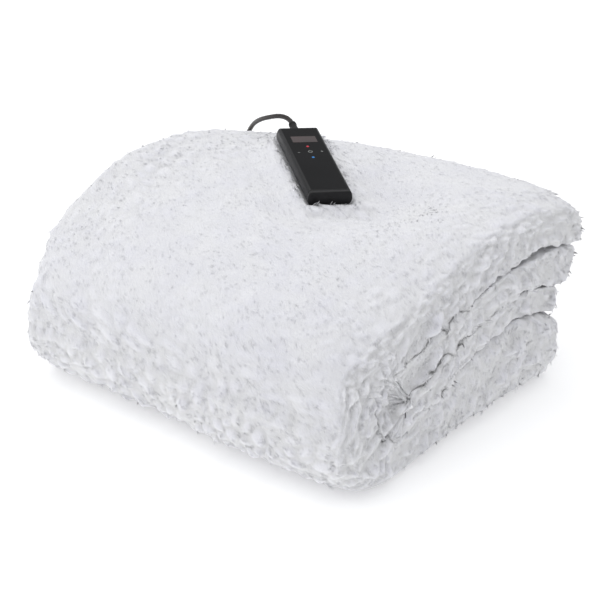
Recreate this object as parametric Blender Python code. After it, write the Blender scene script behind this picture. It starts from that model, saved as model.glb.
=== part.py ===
"""Folded fleece massage table warmer with its hand controller and mains lead.

Units are metres, +Z is up and the floor is z = 0.  The heated fleece pad is cut
0.762 x 1.854 and folded back and forth in four along its length, so that its
plies run along Y and its closed folds face -Y.  The four plies are then folded
in half, so that they wrap round at -X and end one above the other at +X.
"""
import math

import bmesh
import bpy
import numpy as np
from mathutils import Matrix, Vector

# ---------------------------------------------------------------- fleece pad
# Ply thickness with its pile, for each of the two plies of a pair.  The outer
# pair lies outside in the wrap, the inner pair inside it.
#                     wrap    middle  open end
STACK = {
    "top outer":     (0.0200, 0.0190, 0.0168),
    "top inner":     (0.0145, 0.0105, 0.0168),
    "bottom inner":  (0.0135, 0.0085, 0.0088),
    "bottom outer":  (0.0235, 0.0325, 0.0265),
}
PLY_GAP = 0.0018         # between the two plies of a pair
PAIR_GAP = 0.0030        # between the outer and the inner pair
CORE_GAP = 0.0030        # between the bottom half and the top half
POCKET = 0.012           # how far the outer pair stands off the inner bend

# Where the folds and free edges lie along Y, by the place along the wrap.
#        place     outer fold  inner fold  back fold  free edges
FOLD_Y = (
    ("bottom end", -0.236,     -0.214,     0.226,     0.219),
    ("bottom bend", -0.233,    -0.209,     0.228,     0.222),
    ("bend",       -0.222,     -0.192,     0.224,     0.214),
    ("top bend",   -0.229,     -0.206,     0.228,     0.222),
    ("top end",    -0.233,     -0.217,     0.229,     0.221),
)

EDGE_WAVE = 0.003        # how far the folds and edges stray from straight

BEND_X = -0.112          # where the straight plies turn into the wrap
END_X = 0.173            # nominal open edge of the plies
BEND_POWER = 3.2         # above 2 the wrap is fuller than a half circle
BOTTOM_STATIONS = 9
BEND_STATIONS = 10
TOP_STATIONS = 12
END_ROUND = 0.010        # length over which the open edges round off
END_STEPS = (0.0, 0.55, 0.85, 0.97)

OUTER_PLY_STEPS = 14
PLY_STEPS = 5
FOLD_STEPS = 5

# Height of the folded pad over its nominal stack height, by place in plan.
#    along X: wrap   third  two thirds  open end
RISE_X = (-1.0, -0.33, 0.33, 1.0)
RISE = {
    "front":  (1.00, 1.16, 1.41, 1.11),     # the side with the closed folds
    "middle": (0.96, 1.16, 1.28, 1.25),
    "back":   (0.78, 1.16, 1.31, 0.92),
}
TOE = 0.012              # how far the wrap stands out near its front foot
BACK_BULGE = 0.024       # how far the back folds stand out at mid length
HALF_X = 0.200
HALF_Y = 0.232
# How far each plan corner is drawn in, from its square.
#                x = -half  x = +half
DRAW_IN_FRONT = (0.016, 0.010)
DRAW_IN_BACK = (0.020, 0.024)
CORNER_POWER = 5
BELLY = 1.2              # how much less the corners draw in at mid height
TOP_OVERHANG = 0.045     # how far the top plies reach past the bottom ones

# Centre of the folded pad's plan before it is moved over the origin.
PLAN_CENTRE = (0.0002, 0.0083)

# ---------------------------------------------------------------- controller
# The case lies on the top, its long axis pointing to the back corner.
CASE_LENGTH = 0.1442     # without the end cap
CASE_DEPTH = 0.016
CASE_TOP = (0.0866, 0.0375, 0.2107)     # middle of the case's top face
CASE_YAW = 52.8          # degrees from +X to the case's long axis
CASE_PITCH = 8.5         # the back end is raised
CASE_ROLL = 3.7          # the right side is lower
# Half outline of the case across its length, from the top face down.
#             half width  depth
CASE_PROFILE = (
    (0.0217, 0.0000),
    (0.0236, 0.0028),
    (0.0247, 0.0080),
    (0.0240, 0.0130),
    (0.0220, 0.0160),
)
CASE_BEVEL = 0.0009
CAP_LENGTH = 0.0050
JOINT_GAP = 0.0003       # between pieces that touch
PRESS_CLEAR = 0.0015     # between the case's underside and the pressed pile
PRESS_NEAR = 0.030       # the pile is pressed flat this far round the case
PRESS_FAR = 0.075        # and is back at its own height this far away

# Pieces let into the case's top face, in the case's own frame.
WINDOW_SIZE = (0.0285, 0.0140)
WINDOW_Y = 0.0430
LIGHT_RADIUS = 0.0016
LIGHTS = (("heat_light", 0.0260, (0.55, 0.03, 0.05)),
          ("power_light", 0.0006, (0.05, 0.25, 0.60)))
INLAY_DEPTH = 0.0006

# ---------------------------------------------------------------- mains lead
LEAD_DIAMETER = 0.0056
# Strain relief along the lead, from the case outwards.
#             distance  radius
RELIEF_PROFILE = (
    (0.0003, 0.0052),
    (0.0040, 0.0052),
    (0.0060, 0.0044),
    (0.0190, 0.0037),
    (0.0205, 0.0045),
    (0.0240, 0.0043),
)
RELIEF_SIDES = 16
# The lead's way from the strain relief to the coil.
#    x       y       z
ROUTE = (
    (0.1447, 0.1149, 0.2171),
    (0.1491, 0.1208, 0.2182),
    (0.1528, 0.1295, 0.2190),
    (0.1560, 0.1390, 0.2180),
    (0.1592, 0.1500, 0.2152),
    (0.1637, 0.1640, 0.2098),
    (0.1690, 0.1775, 0.2040),
    (0.1752, 0.1910, 0.1970),
    (0.1830, 0.2060, 0.1870),
    (0.1905, 0.2200, 0.1725),
    (0.1965, 0.2320, 0.1530),
    (0.2005, 0.2405, 0.1290),
    (0.2030, 0.2455, 0.1010),
    (0.2045, 0.2485, 0.0720),
    (0.2055, 0.2510, 0.0480),
    (0.2062, 0.2555, 0.0280),
    (0.2068, 0.2645, 0.0130),
    (0.2072, 0.2770, 0.0052),
    (0.2073, 0.2900, 0.0031),
    (0.2073, 0.3010, 0.0031),
)
# The rest of the lead is put away as a round coil on the floor.
COIL_CENTRE = (0.162, 0.302)
COIL_COLUMNS = 3         # turns side by side
COIL_LAYERS = 4          # turns above each other
COIL_MIDDLE = 0.0335     # radius at the middle of the turns
COIL_SIDES = 40
# From the coil's top turn down to the plug beside it.
TAIL = (
    (0.1581, 0.3471, 0.0196),
    (0.1470, 0.3457, 0.0186),
    (0.1340, 0.3425, 0.0163),
    (0.1200, 0.3385, 0.0132),
    (0.1060, 0.3350, 0.0104),
    (0.0930, 0.3325, 0.0087),
    (0.0830, 0.3310, 0.0081),
)
CORD_STEP = 0.010        # spacing of the points along the lead
CORD_RESOLUTION = 2

# ---------------------------------------------------------------- mains plug
PLUG_YAW = 188.5         # degrees from +X to the way the blades point
# Body outline from the lead to the face that carries the blades.
#             distance  half width  half height
PLUG_PROFILE = (
    (0.000, 0.0042, 0.0042),
    (0.012, 0.0052, 0.0050),
    (0.018, 0.0100, 0.0068),
    (0.032, 0.0125, 0.0078),
    (0.036, 0.0125, 0.0078),
)
PLUG_CORNER = 0.30       # share of the smaller half size rounded off
BLADE_SPACING = 0.0127
BLADE_SIZE = (0.0160, 0.0015, 0.0064)   # length, thickness, width


def smooth_step(t):
    """Ease from 0 to 1 as t goes from 0 to 1."""
    t = min(max(t, 0.0), 1.0)
    return t * t * (3.0 - 2.0 * t)


def mix(a, b, t):
    """Value between a and b."""
    return a + (b - a) * t


def through(values, places, t):
    """Smooth curve through values at places, read at t."""
    total = 0.0
    for k, value in enumerate(values):
        weight = 1.0
        for n, place in enumerate(places):
            if n != k:
                weight *= (t - place) / (places[k] - place)
        total += value * weight
    return total


def ply_heights(half, to_end):
    """Thickness and middle height of plies 1 to 4 above the core plane."""
    outer = through(STACK[half + " outer"], (0.0, 0.5, 1.0), to_end)
    inner = through(STACK[half + " inner"], (0.0, 0.5, 1.0), to_end)
    fourth = 0.5 * CORE_GAP + 0.5 * inner
    third = fourth + inner + PLY_GAP
    second = third + 0.5 * inner + PAIR_GAP + 0.5 * outer
    first = second + outer + PLY_GAP
    return (outer, outer, inner, inner), (first, second, third, fourth)


def stack_height(half, to_end):
    """Height of one half's four plies above the core plane."""
    thickness, height = ply_heights(half, to_end)
    return height[0] + 0.5 * thickness[0]


def fold_places(place):
    """Y of the folds and edges at a place from 0, bottom end, to 4, top end."""
    low = min(int(place), len(FOLD_Y) - 2)
    t = smooth_step(place - low)
    places = [mix(a, b, t) for a, b in zip(FOLD_Y[low][1:], FOLD_Y[low + 1][1:])]
    return [y + EDGE_WAVE * math.sin(2.6 * place + 1.9 * k)
            for k, y in enumerate(places)]


def centre_line(thickness, height, places):
    """Serpentine middle line of four plies: (y, h, normal y, normal h, thickness)."""
    outer_fold, inner_fold, back_fold, free_edge = places
    rows = []

    def straight(start, end, ply, facing, steps):
        for k in range(steps):
            y = mix(start, end, k / steps)
            rows.append((y, height[ply], 0.0, facing, thickness[ply]))

    def fold(reach, ply, side):
        """Half turn from a ply to the one under it, on side -1 or +1."""
        radius = 0.5 * (height[ply] - height[ply + 1])
        middle = 0.5 * (height[ply] + height[ply + 1])
        y_centre = fold_centre(reach, ply, side)
        for k in range(FOLD_STEPS):
            turn = math.pi * k / FOLD_STEPS
            out = side * math.sin(turn)
            up = math.cos(turn)
            thick = mix(thickness[ply], thickness[ply + 1], k / FOLD_STEPS)
            sign = -1.0 if side > 0 else 1.0
            rows.append((y_centre + radius * out, middle + radius * up,
                         sign * out, sign * up, thick))

    def fold_centre(reach, ply, side):
        radius = 0.5 * (height[ply] - height[ply + 1])
        return reach - side * (radius + 0.5 * thickness[ply])

    front_outer = fold_centre(outer_fold, 0, -1)
    back = fold_centre(back_fold, 1, 1)
    front_inner = fold_centre(inner_fold, 2, -1)
    straight(free_edge - 0.5 * thickness[0], front_outer, 0, 1.0, OUTER_PLY_STEPS)
    fold(outer_fold, 0, -1)
    straight(front_outer, back, 1, -1.0, PLY_STEPS)
    fold(back_fold, 1, 1)
    straight(back, front_inner, 2, 1.0, PLY_STEPS)
    fold(inner_fold, 2, -1)
    straight(front_inner, free_edge - 0.5 * thickness[3], 3, -1.0, PLY_STEPS)
    rows.append((free_edge - 0.5 * thickness[3], height[3], 0.0, -1.0, thickness[3]))
    return rows


def section(rows, fullness):
    """Closed outline round the middle line, as (y, h) points."""
    half = [0.5 * fullness * row[4] for row in rows]
    near = [(r[0] + r[2] * t, r[1] + r[3] * t) for r, t in zip(rows, half)]
    far = [(r[0] - r[2] * t, r[1] - r[3] * t) for r, t in zip(rows, half)]
    first_cap = [(rows[0][0] + half[0], rows[0][1])]
    last_cap = [(rows[-1][0] + half[-1], rows[-1][1])]
    return near + last_cap + far[::-1] + first_cap


def stations():
    """(place, half, share towards the open end, bend angle, x, fullness)."""
    rows = []
    for step in reversed(END_STEPS):
        x = END_X - END_ROUND * (1.0 - step)
        rows.append((0.0, "bottom", 1.0, -0.5 * math.pi, x, math.sqrt(1 - step ** 2)))
    start = END_X - END_ROUND
    for k in range(1, BOTTOM_STATIONS):
        t = 1.0 - k / BOTTOM_STATIONS
        rows.append((1.0 - t, "bottom", t, -0.5 * math.pi, mix(BEND_X, start, t), 1.0))
    for k in range(BEND_STATIONS + 1):
        turn = math.pi * (k / BEND_STATIONS - 0.5)
        half = "bottom" if turn < 0 else "top"
        rows.append((2.0 + turn / (0.5 * math.pi), half, 0.0, turn, BEND_X, 1.0))
    for k in range(1, TOP_STATIONS):
        t = k / TOP_STATIONS
        rows.append((3.0 + t, "top", t, 0.5 * math.pi, mix(BEND_X, start, t), 1.0))
    for step in END_STEPS:
        x = END_X - END_ROUND * (1.0 - step)
        rows.append((4.0, "top", 1.0, 0.5 * math.pi, x, math.sqrt(1 - step ** 2)))
    return rows


def swept_ring(station):
    """One ring of the plies' outline in space, before the pad settles."""
    place, half, to_end, turn, x, fullness = station
    thickness, height = ply_heights(half, to_end)
    rows = centre_line(thickness, height, fold_places(place))
    core = stack_height("bottom", to_end)
    out = abs(math.cos(turn)) ** (2.0 / BEND_POWER)
    up = math.copysign(abs(math.sin(turn)) ** (2.0 / BEND_POWER), math.sin(turn))
    between = 0.5 * (height[1] + height[2])
    ring = []
    for y, h in section(rows, fullness):
        stand_off = POCKET * smooth_step((h - between) / 0.02 + 0.5)
        ring.append((x - (h + stand_off) * out, y, core + h * up))
    return ring


def corner_value(front, back, a, b):
    """Value between the four plan corners, with a and b from -1 to 1."""
    u = 0.5 + 0.5 * min(max(a, -1.0), 1.0)
    v = 0.5 + 0.5 * min(max(b, -1.0), 1.0)
    return mix(mix(front[0], front[1], u), mix(back[0], back[1], u), v)


def rise_at(a, b):
    """Height factor at a plan place, with a and b from -1 to 1."""
    a = min(max(a, -1.0), 1.1)
    b = min(max(b, -1.0), 1.0)
    rows = [through(RISE[side], RISE_X, a) for side in ("front", "middle", "back")]
    return through(rows, (-1.0, 0.0, 1.0), b)


def case_matrix():
    """Frame of the case: X across, Y along to the back end, Z out of its face."""
    turn = Matrix.Rotation(math.radians(CASE_YAW - 90.0), 4, "Z")
    tip = Matrix.Rotation(math.radians(CASE_PITCH), 4, "X")
    roll = Matrix.Rotation(math.radians(CASE_ROLL), 4, "Y")
    return Matrix.Translation(CASE_TOP) @ turn @ tip @ roll


CASE_FRAME = case_matrix()
CASE_INVERSE = CASE_FRAME.inverted()


def press(x, y, top):
    """How far the case presses the pad's top down at a plan place."""
    place = CASE_INVERSE @ Vector((x, y, top))
    out_x = max(0.0, abs(place.x) - CASE_PROFILE[2][0])
    out_y = max(0.0, abs(place.y + 0.5 * CAP_LENGTH) - 0.5 * (CASE_LENGTH + CAP_LENGTH))
    away = math.hypot(out_x, out_y)
    ease = 1.0 - smooth_step((away - PRESS_NEAR) / (PRESS_FAR - PRESS_NEAR))
    return ease * max(0.0, place.z + CASE_DEPTH + PRESS_CLEAR)


def settle(point, total):
    """Let the pad rise, lean and round off as it lies, from its flat stack."""
    x, y, z = point
    a = x / HALF_X
    b = y / HALF_Y
    level = z / total
    reach = abs(a * b) ** CORNER_POWER
    draw = corner_value(DRAW_IN_FRONT, DRAW_IN_BACK, a, b) * min(reach, 1.3)
    draw *= 1.0 - BELLY * math.sin(math.pi * min(max(level, 0.0), 1.0))
    lean = TOP_OVERHANG * smooth_step(1.4 * level - 0.4) * smooth_step(a) ** 1.5
    bulge = BACK_BULGE * smooth_step(b) * max(0.0, 1.0 - a * a)
    toe = TOE * max(0.0, 1.0 - ((b + 0.45) / 0.6) ** 2) * smooth_step(-2.0 * a - 1.0)
    toe *= 1.0 - smooth_step(1.6 * level - 0.2)
    x += lean - toe - draw * math.copysign(1.0, x) - PLAN_CENTRE[0]
    y += bulge - draw * math.copysign(1.0, y) - PLAN_CENTRE[1]
    height = rise_at(a, b)
    pressed = press(x, y, total * height) * smooth_step((level - 0.3) / 0.7)
    return (x, y, z * height - pressed)


def pad_rings():
    """All rings of the settled pad."""
    rings = []
    for station in stations():
        to_end = station[2]
        total = stack_height("bottom", to_end) + stack_height("top", to_end)
        rings.append([settle(point, total) for point in swept_ring(station)])
    return rings


def material(name, colour, roughness, metallic=0.0):
    """Principled material in one colour."""
    mat = bpy.data.materials.new(name)
    mat.use_nodes = True
    shader = mat.node_tree.nodes["Principled BSDF"]
    shader.inputs["Base Color"].default_value = (*colour, 1.0)
    shader.inputs["Roughness"].default_value = roughness
    shader.inputs["Metallic"].default_value = metallic
    return mat


def add_mesh(name, verts, faces, mat=None):
    """Object from points and faces, with its faces made to point out."""
    mesh = bpy.data.meshes.new(name)
    mesh.from_pydata(verts, [], faces)
    shape = bmesh.new()
    shape.from_mesh(mesh)
    bmesh.ops.recalc_face_normals(shape, faces=shape.faces)
    shape.to_mesh(mesh)
    shape.free()
    if mat:
        mesh.materials.append(mat)
    obj = bpy.data.objects.new(name, mesh)
    bpy.context.collection.objects.link(obj)
    return obj


def bridged(rings):
    """Faces between rings of equal count, closed by a face at both ends."""
    count = len(rings[0])
    verts = [point for ring in rings for point in ring]
    faces = []
    for k in range(len(rings) - 1):
        for j in range(count):
            n = (j + 1) % count
            faces.append((k * count + j, k * count + n,
                          (k + 1) * count + n, (k + 1) * count + j))
    faces.append(tuple(range(count)))
    faces.append(tuple(range((len(rings) - 1) * count, len(rings) * count)))
    return verts, faces


def pad_mesh():
    """Points and faces of the folded pad, its ends closed ply by ply."""
    rings = pad_rings()
    count = len(rings[0])
    verts, faces = bridged(rings)
    faces = faces[:-2]
    along = (count - 2) // 2
    for base in (0, (len(rings) - 1) * count):
        near = list(range(along))
        far = [count - 2 - j for j in range(along)]
        for j in range(along - 1):
            faces.append((base + near[j], base + near[j + 1],
                          base + far[j + 1], base + far[j]))
        faces.append((base + near[-1], base + along, base + far[-1]))
        faces.append((base + near[0], base + far[0], base + count - 1))
    return verts, faces


def add_pad():
    """The folded fleece pad."""
    verts, faces = pad_mesh()
    pad = add_mesh("fleece_pad", verts, faces, material("fleece", (0.9, 0.9, 0.9), 0.95))
    pad.data.shade_smooth()


def case_outline():
    """Closed outline of the case across its length, as (x, z)."""
    right = [(half, -depth) for half, depth in CASE_PROFILE]
    return right + [(-x, z) for x, z in reversed(right)]


def case_piece(name, start, end, parent, mat):
    """Stretch of the case's profile between two places along it."""
    rings = [[(x, y, z) for x, z in case_outline()] for y in (start, end)]
    obj = add_mesh(name, *bridged(rings), mat)
    obj.parent = parent
    bevel = obj.modifiers.new("edges", "BEVEL")
    bevel.width = CASE_BEVEL
    bevel.segments = 2
    bevel.limit_method = "ANGLE"
    bevel.angle_limit = math.radians(35.0)
    return obj


def cut(obj, cutter):
    """Boolean cut, with the cutter kept as a hidden guide."""
    cutter.hide_render = True
    cutter.display_type = "WIRE"
    boolean = obj.modifiers.new(cutter.name, "BOOLEAN")
    boolean.operation = "DIFFERENCE"
    boolean.solver = "EXACT"
    boolean.object = cutter


def slab(name, size, centre_y, bottom, top, parent, mat=None):
    """Rectangular inlay or cutter in the case's frame."""
    half_x = 0.5 * size[0]
    half_y = 0.5 * size[1]
    rings = [[(-half_x, centre_y - half_y, z), (half_x, centre_y - half_y, z),
              (half_x, centre_y + half_y, z), (-half_x, centre_y + half_y, z)]
             for z in (bottom, top)]
    obj = add_mesh(name, *bridged(rings), mat)
    obj.parent = parent
    return obj


def disc(name, radius, centre_y, bottom, top, parent, mat=None):
    """Round inlay or cutter in the case's frame."""
    sides = 16
    angles = [2.0 * math.pi * k / sides for k in range(sides)]
    rings = [[(radius * math.cos(a), centre_y + radius * math.sin(a), z) for a in angles]
             for z in (bottom, top)]
    obj = add_mesh(name, *bridged(rings), mat)
    obj.parent = parent
    return obj


def add_controller():
    """Case, end cap, display window, two lights and strain relief."""
    parent = bpy.data.objects.new("controller_frame", None)
    bpy.context.collection.objects.link(parent)
    parent.matrix_world = CASE_FRAME
    black = material("case_plastic", (0.035, 0.035, 0.038), 0.38)
    half = 0.5 * CASE_LENGTH
    case = case_piece("controller_case", -half, half, parent, black)
    case_piece("controller_end_cap", -half - JOINT_GAP - CAP_LENGTH,
               -half - JOINT_GAP, parent, black)

    deep = INLAY_DEPTH + JOINT_GAP
    wide = tuple(side + 2.0 * JOINT_GAP for side in WINDOW_SIZE)
    cut(case, slab("window_cutter", wide, WINDOW_Y, -deep, 0.001, parent))
    slab("display_window", WINDOW_SIZE, WINDOW_Y, -INLAY_DEPTH, 0.0, parent,
         material("window_plastic", (0.20, 0.18, 0.18), 0.12))
    for name, y, colour in LIGHTS:
        cut(case, disc(name + "_cutter", LIGHT_RADIUS + JOINT_GAP, y, -deep, 0.001, parent))
        disc(name, LIGHT_RADIUS, y, -INLAY_DEPTH, 0.0, parent, material(name, colour, 0.2))

    sides = [2.0 * math.pi * k / RELIEF_SIDES for k in range(RELIEF_SIDES)]
    middle = -0.5 * CASE_DEPTH
    rings = [[(r * math.cos(a), half + d, middle + r * math.sin(a)) for a in sides]
             for d, r in RELIEF_PROFILE]
    relief = add_mesh("strain_relief", *bridged(rings),
                      material("relief_rubber", (0.03, 0.03, 0.03), 0.55))
    relief.parent = parent


def smooth_route(points, step):
    """Points a step apart on one smooth curve through the given points."""
    knots = [Vector(p) for p in points]
    knots = [2.0 * knots[0] - knots[1]] + knots + [2.0 * knots[-1] - knots[-2]]
    fine = []
    for k in range(1, len(knots) - 2):
        p0, p1, p2, p3 = knots[k - 1:k + 3]
        for n in range(12):
            t = n / 12
            fine.append(0.5 * (2.0 * p1 + (p2 - p0) * t
                               + (2.0 * p0 - 5.0 * p1 + 4.0 * p2 - p3) * t ** 2
                               + (3.0 * p1 - p0 - 3.0 * p2 + p3) * t ** 3))
    fine.append(knots[-2])
    length = [0.0]
    for a, b in zip(fine, fine[1:]):
        length.append(length[-1] + (b - a).length)
    count = max(2, round(length[-1] / step))
    places = np.linspace(0.0, length[-1], count + 1)
    return [tuple(np.interp(s, length, [p[axis] for p in fine]) for axis in range(3))
            for s in places]


def add_cord(name, points, mat):
    """Stretch of the lead as a round tube along its route."""
    curve = bpy.data.curves.new(name, "CURVE")
    curve.dimensions = "3D"
    curve.bevel_depth = 0.5 * LEAD_DIAMETER
    curve.bevel_resolution = CORD_RESOLUTION
    curve.use_fill_caps = True
    path = smooth_route(points, CORD_STEP)
    spline = curve.splines.new("POLY")
    spline.points.add(len(path) - 1)
    for point, place in zip(spline.points, path):
        point.co = (*place, 1.0)
    curve.materials.append(mat)
    obj = bpy.data.objects.new(name, curve)
    bpy.context.collection.objects.link(obj)


def add_coil(mat):
    """Outer shape of the coiled lead, as one turned ring."""
    half = 0.5 * COIL_COLUMNS * LEAD_DIAMETER + JOINT_GAP
    height = COIL_LAYERS * LEAD_DIAMETER + JOINT_GAP
    ease = 0.3 * LEAD_DIAMETER
    inner = COIL_MIDDLE - half
    outer = COIL_MIDDLE + half
    profile = [(inner, JOINT_GAP + ease), (inner + ease, JOINT_GAP),
               (outer - ease, JOINT_GAP), (outer, JOINT_GAP + ease),
               (outer, height - ease), (outer - ease, height),
               (inner + ease, height), (inner, height - ease)]
    count = len(profile)
    verts = []
    faces = []
    for k in range(COIL_SIDES):
        turn = 2.0 * math.pi * k / COIL_SIDES
        for r, z in profile:
            verts.append((COIL_CENTRE[0] + r * math.cos(turn),
                          COIL_CENTRE[1] + r * math.sin(turn), z))
        for j in range(count):
            n = (j + 1) % count
            m = (k + 1) % COIL_SIDES
            faces.append((k * count + j, k * count + n, m * count + n, m * count + j))
    add_mesh("lead_coil", verts, faces, mat)


def rounded_rectangle(half_w, half_h):
    """Outline with its corners cut by short arcs, as (across, up)."""
    radius = 2.0 * PLUG_CORNER * min(half_w, half_h)
    points = []
    for quarter in range(4):
        sign_w = (1, -1, -1, 1)[quarter]
        sign_h = (1, 1, -1, -1)[quarter]
        for k in range(4):
            turn = 0.5 * math.pi * (quarter + k / 3)
            points.append((sign_w * (half_w - radius) + radius * math.cos(turn),
                           sign_h * (half_h - radius) + radius * math.sin(turn)))
    return points


def add_plug():
    """Moulded plug on the lead's end, with its two flat blades."""
    parent = bpy.data.objects.new("plug_frame", None)
    bpy.context.collection.objects.link(parent)
    end = Vector(TAIL[-1])
    turn = math.radians(PLUG_YAW)
    ahead = Vector((math.cos(turn), math.sin(turn), 0.0))
    parent.location = end + JOINT_GAP * ahead
    parent.rotation_euler = (0.0, 0.0, turn)
    black = material("plug_plastic", (0.03, 0.03, 0.03), 0.5)
    rings = [[(d, across, up) for across, up in rounded_rectangle(half_w, half_h)]
             for d, half_w, half_h in PLUG_PROFILE]
    body = add_mesh("plug_body", *bridged(rings), black)
    body.parent = parent

    brass = material("blade_brass", (0.72, 0.60, 0.35), 0.3, 1.0)
    length, thick, width = BLADE_SIZE
    start = PLUG_PROFILE[-1][0] + JOINT_GAP
    for name, side in (("plug_blade_left", 1.0), ("plug_blade_right", -1.0)):
        y = 0.5 * side * BLADE_SPACING
        rings = [[(d, y - 0.5 * thick, -0.5 * w), (d, y + 0.5 * thick, -0.5 * w),
                  (d, y + 0.5 * thick, 0.5 * w), (d, y - 0.5 * thick, 0.5 * w)]
                 for d, w in ((start, width), (start + length - 0.0015, width),
                              (start + length, width - 0.002))]
        blade = add_mesh(name, *bridged(rings), brass)
        blade.parent = parent


def main():
    """Build every piece."""
    for obj in list(bpy.data.objects):
        bpy.data.objects.remove(obj, do_unlink=True)
    add_pad()
    add_controller()
    rubber = material("lead_rubber", (0.035, 0.032, 0.032), 0.45)
    add_cord("lead", ROUTE, rubber)
    add_coil(rubber)
    add_cord("lead_tail", TAIL, rubber)
    add_plug()


main()
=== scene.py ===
"""Looks of a folded fleece massage table warmer: its pile, hand controller and mains lead.

Units are metres, +Z is up and the floor is z = 0.  The fleece is swept and
settled by the same rules as the solids in the frame, set in by part of the
pile's depth, then given its lumps.  Locks of pile grow from it to the solid's
surface.
"""

import math

import bmesh
import bpy
import numpy as np
from bpy.props import FloatProperty, FloatVectorProperty, IntProperty, PointerProperty
from mathutils import Matrix, Vector, noise
from mathutils.bvhtree import BVHTree


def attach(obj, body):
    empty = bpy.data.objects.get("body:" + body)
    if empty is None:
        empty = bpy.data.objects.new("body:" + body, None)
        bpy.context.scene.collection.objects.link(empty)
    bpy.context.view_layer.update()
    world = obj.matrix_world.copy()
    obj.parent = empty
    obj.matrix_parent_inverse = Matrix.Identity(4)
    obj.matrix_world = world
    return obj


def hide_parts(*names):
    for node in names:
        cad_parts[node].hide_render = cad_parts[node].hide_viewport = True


bl_info = {
    "name": "Folded Fleece Warmer",
    "version": (1, 0, 0),
    "blender": (4, 5, 0),
    "location": "View3D > Sidebar > Warmer",
    "description": "Builds a folded fleece massage table warmer with its controller and lead",
    "category": "Add Mesh",
}

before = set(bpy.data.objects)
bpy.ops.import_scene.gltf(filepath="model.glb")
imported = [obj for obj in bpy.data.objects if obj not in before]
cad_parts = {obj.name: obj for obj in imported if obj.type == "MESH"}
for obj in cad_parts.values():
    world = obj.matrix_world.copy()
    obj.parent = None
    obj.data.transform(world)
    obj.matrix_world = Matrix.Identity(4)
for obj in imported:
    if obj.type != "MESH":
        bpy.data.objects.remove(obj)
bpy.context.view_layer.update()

# ---------------------------------------------------------------- fleece pad
# Ply thickness with its pile, for each of the two plies of a pair.
#                     wrap    middle  open end
STACK = {
    "top outer":     (0.0200, 0.0190, 0.0168),
    "top inner":     (0.0145, 0.0105, 0.0168),
    "bottom inner":  (0.0135, 0.0085, 0.0088),
    "bottom outer":  (0.0235, 0.0325, 0.0265),
}
PLY_GAP = 0.0018               # between the two plies of a pair
PAIR_GAP = 0.0030              # between the outer and the inner pair
CORE_GAP = 0.0030              # between the bottom half and the top half
POCKET = 0.012                 # how far the outer pair stands off the inner bend
# Where the folds and free edges lie along Y, by the place along the wrap.
#        place     outer fold  inner fold  back fold  free edges
FOLD_Y = (
    ("bottom end", -0.236,     -0.214,     0.226,     0.219),
    ("bottom bend", -0.233,    -0.218,     0.228,     0.222),
    ("bend",       -0.222,     -0.210,     0.224,     0.214),
    ("top bend",   -0.229,     -0.215,     0.228,     0.222),
    ("top end",    -0.233,     -0.217,     0.229,     0.221),
)
EDGE_WAVE = 0.003              # how far the folds and edges stray from straight
BEND_X = -0.112                # where the straight plies turn into the wrap
END_X = 0.173                  # nominal open edge of the plies
BEND_POWER = 3.2               # above 2 the wrap is fuller than a half circle
END_ROUND = 0.010              # length over which the open edges round off
END_STEPS = (0.0, 0.3, 0.55, 0.72, 0.85, 0.94, 0.985)
# Stations along the wrap, and points along the folded section.
STATIONS = {"bottom": 78, "bend": 112, "top": 108}
#    part of the section  steps outside  steps inside  outside shows  inside shows
SECTION_STEPS = (
    ("first ply",         172,            8,           1.0,           0.0),
    ("front fold",         30,            4,           1.0,           0.0),
    ("second ply",          5,            5,           0.0,           0.0),
    ("back fold",           4,           20,           0.0,           1.0),
    ("third ply",           5,            5,           0.0,           0.0),
    ("inner fold",         24,            4,           1.0,           0.0),
    ("fourth ply",          5,            5,           0.0,           0.0),
)
# Fullness of the outer and the inner front folds, above 2 fuller than round:
#             upper half  lower half
FOLD_POWER = {0: (2.3,    4.5),
              2: (5.0,    4.5)}
SWELL = 0.006                  # how much thicker the pile is where front folds meet
CORE_FILL = 0.011              # how near the core the inner folds are filled
CORE_OUT = 0.008               # how far the pile there is pushed out
CREASE_UP = 0.0048             # how far the pile swells where folds meet
INNER_OUT = 0.010              # how much further out the inner fold's pile reaches
EDGE_STEPS = 6                 # points round each free edge
SHOWN_DEPTH = 0.014            # how deep a gap between plies shows
ZONES = ("wrap", "front", "back", "open", "top_right", "top_left")
COMB = (-0.35, -0.75, -0.55)   # the way the pile lies
WRAP_COMB = Vector((-0.10, -0.90, -0.20))    # the same low on the wrap
COMB_PLACE = Vector((7.0, 3.0, 1.0))         # sets the comb's noise apart from the lumps
FLOOR_CLEAR = 0.0008           # how far the cloth stays off the floor
MOVED_CLEAR = 0.0006           # the same once its lumps are raised
WISP_CLEAR = 0.0004            # the same for its pile
TOP_FROM_Z = 0.12              # the pad's top lies above this
TOP_SPLIT_X = 0.015            # where the top's pile is split into two pieces
SOFTEN_STEPS = 3               # passes that even out the lumps
OPEN_REACH = 0.05              # how near another part of the cloth blocks the view

# Height of the folded pad over its nominal stack height, by place in plan.
#    along X: wrap   third  two thirds  open end
RISE_X = (-1.0, -0.33, 0.33, 1.0)
RISE = {
    "front":  (1.00, 1.16, 1.41, 1.11),
    "middle": (0.96, 1.16, 1.28, 1.25),
    "back":   (0.78, 1.16, 1.31, 0.92),
}
SHOULDER = 0.009               # how far the top sinks towards its front fold
TOE = 0.012                    # how far the wrap stands out near its front foot
BACK_BULGE = 0.024             # how far the back folds stand out at mid length
HALF_X = 0.200                 # from the middle to the wrap or the open ends
HALF_Y = 0.232                 # from the middle to the front or the back folds
DRAW_IN_FRONT = (0.016, 0.010)  # how far the corners draw in: wrap side, open side
DRAW_IN_BACK = (0.020, 0.024)
CORNER_POWER = 5               # how close to a corner the drawing in starts
BELLY = 1.2                    # how much less the corners draw in at mid height
TOP_OVERHANG = 0.045           # how far the top plies reach past the bottom ones
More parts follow.
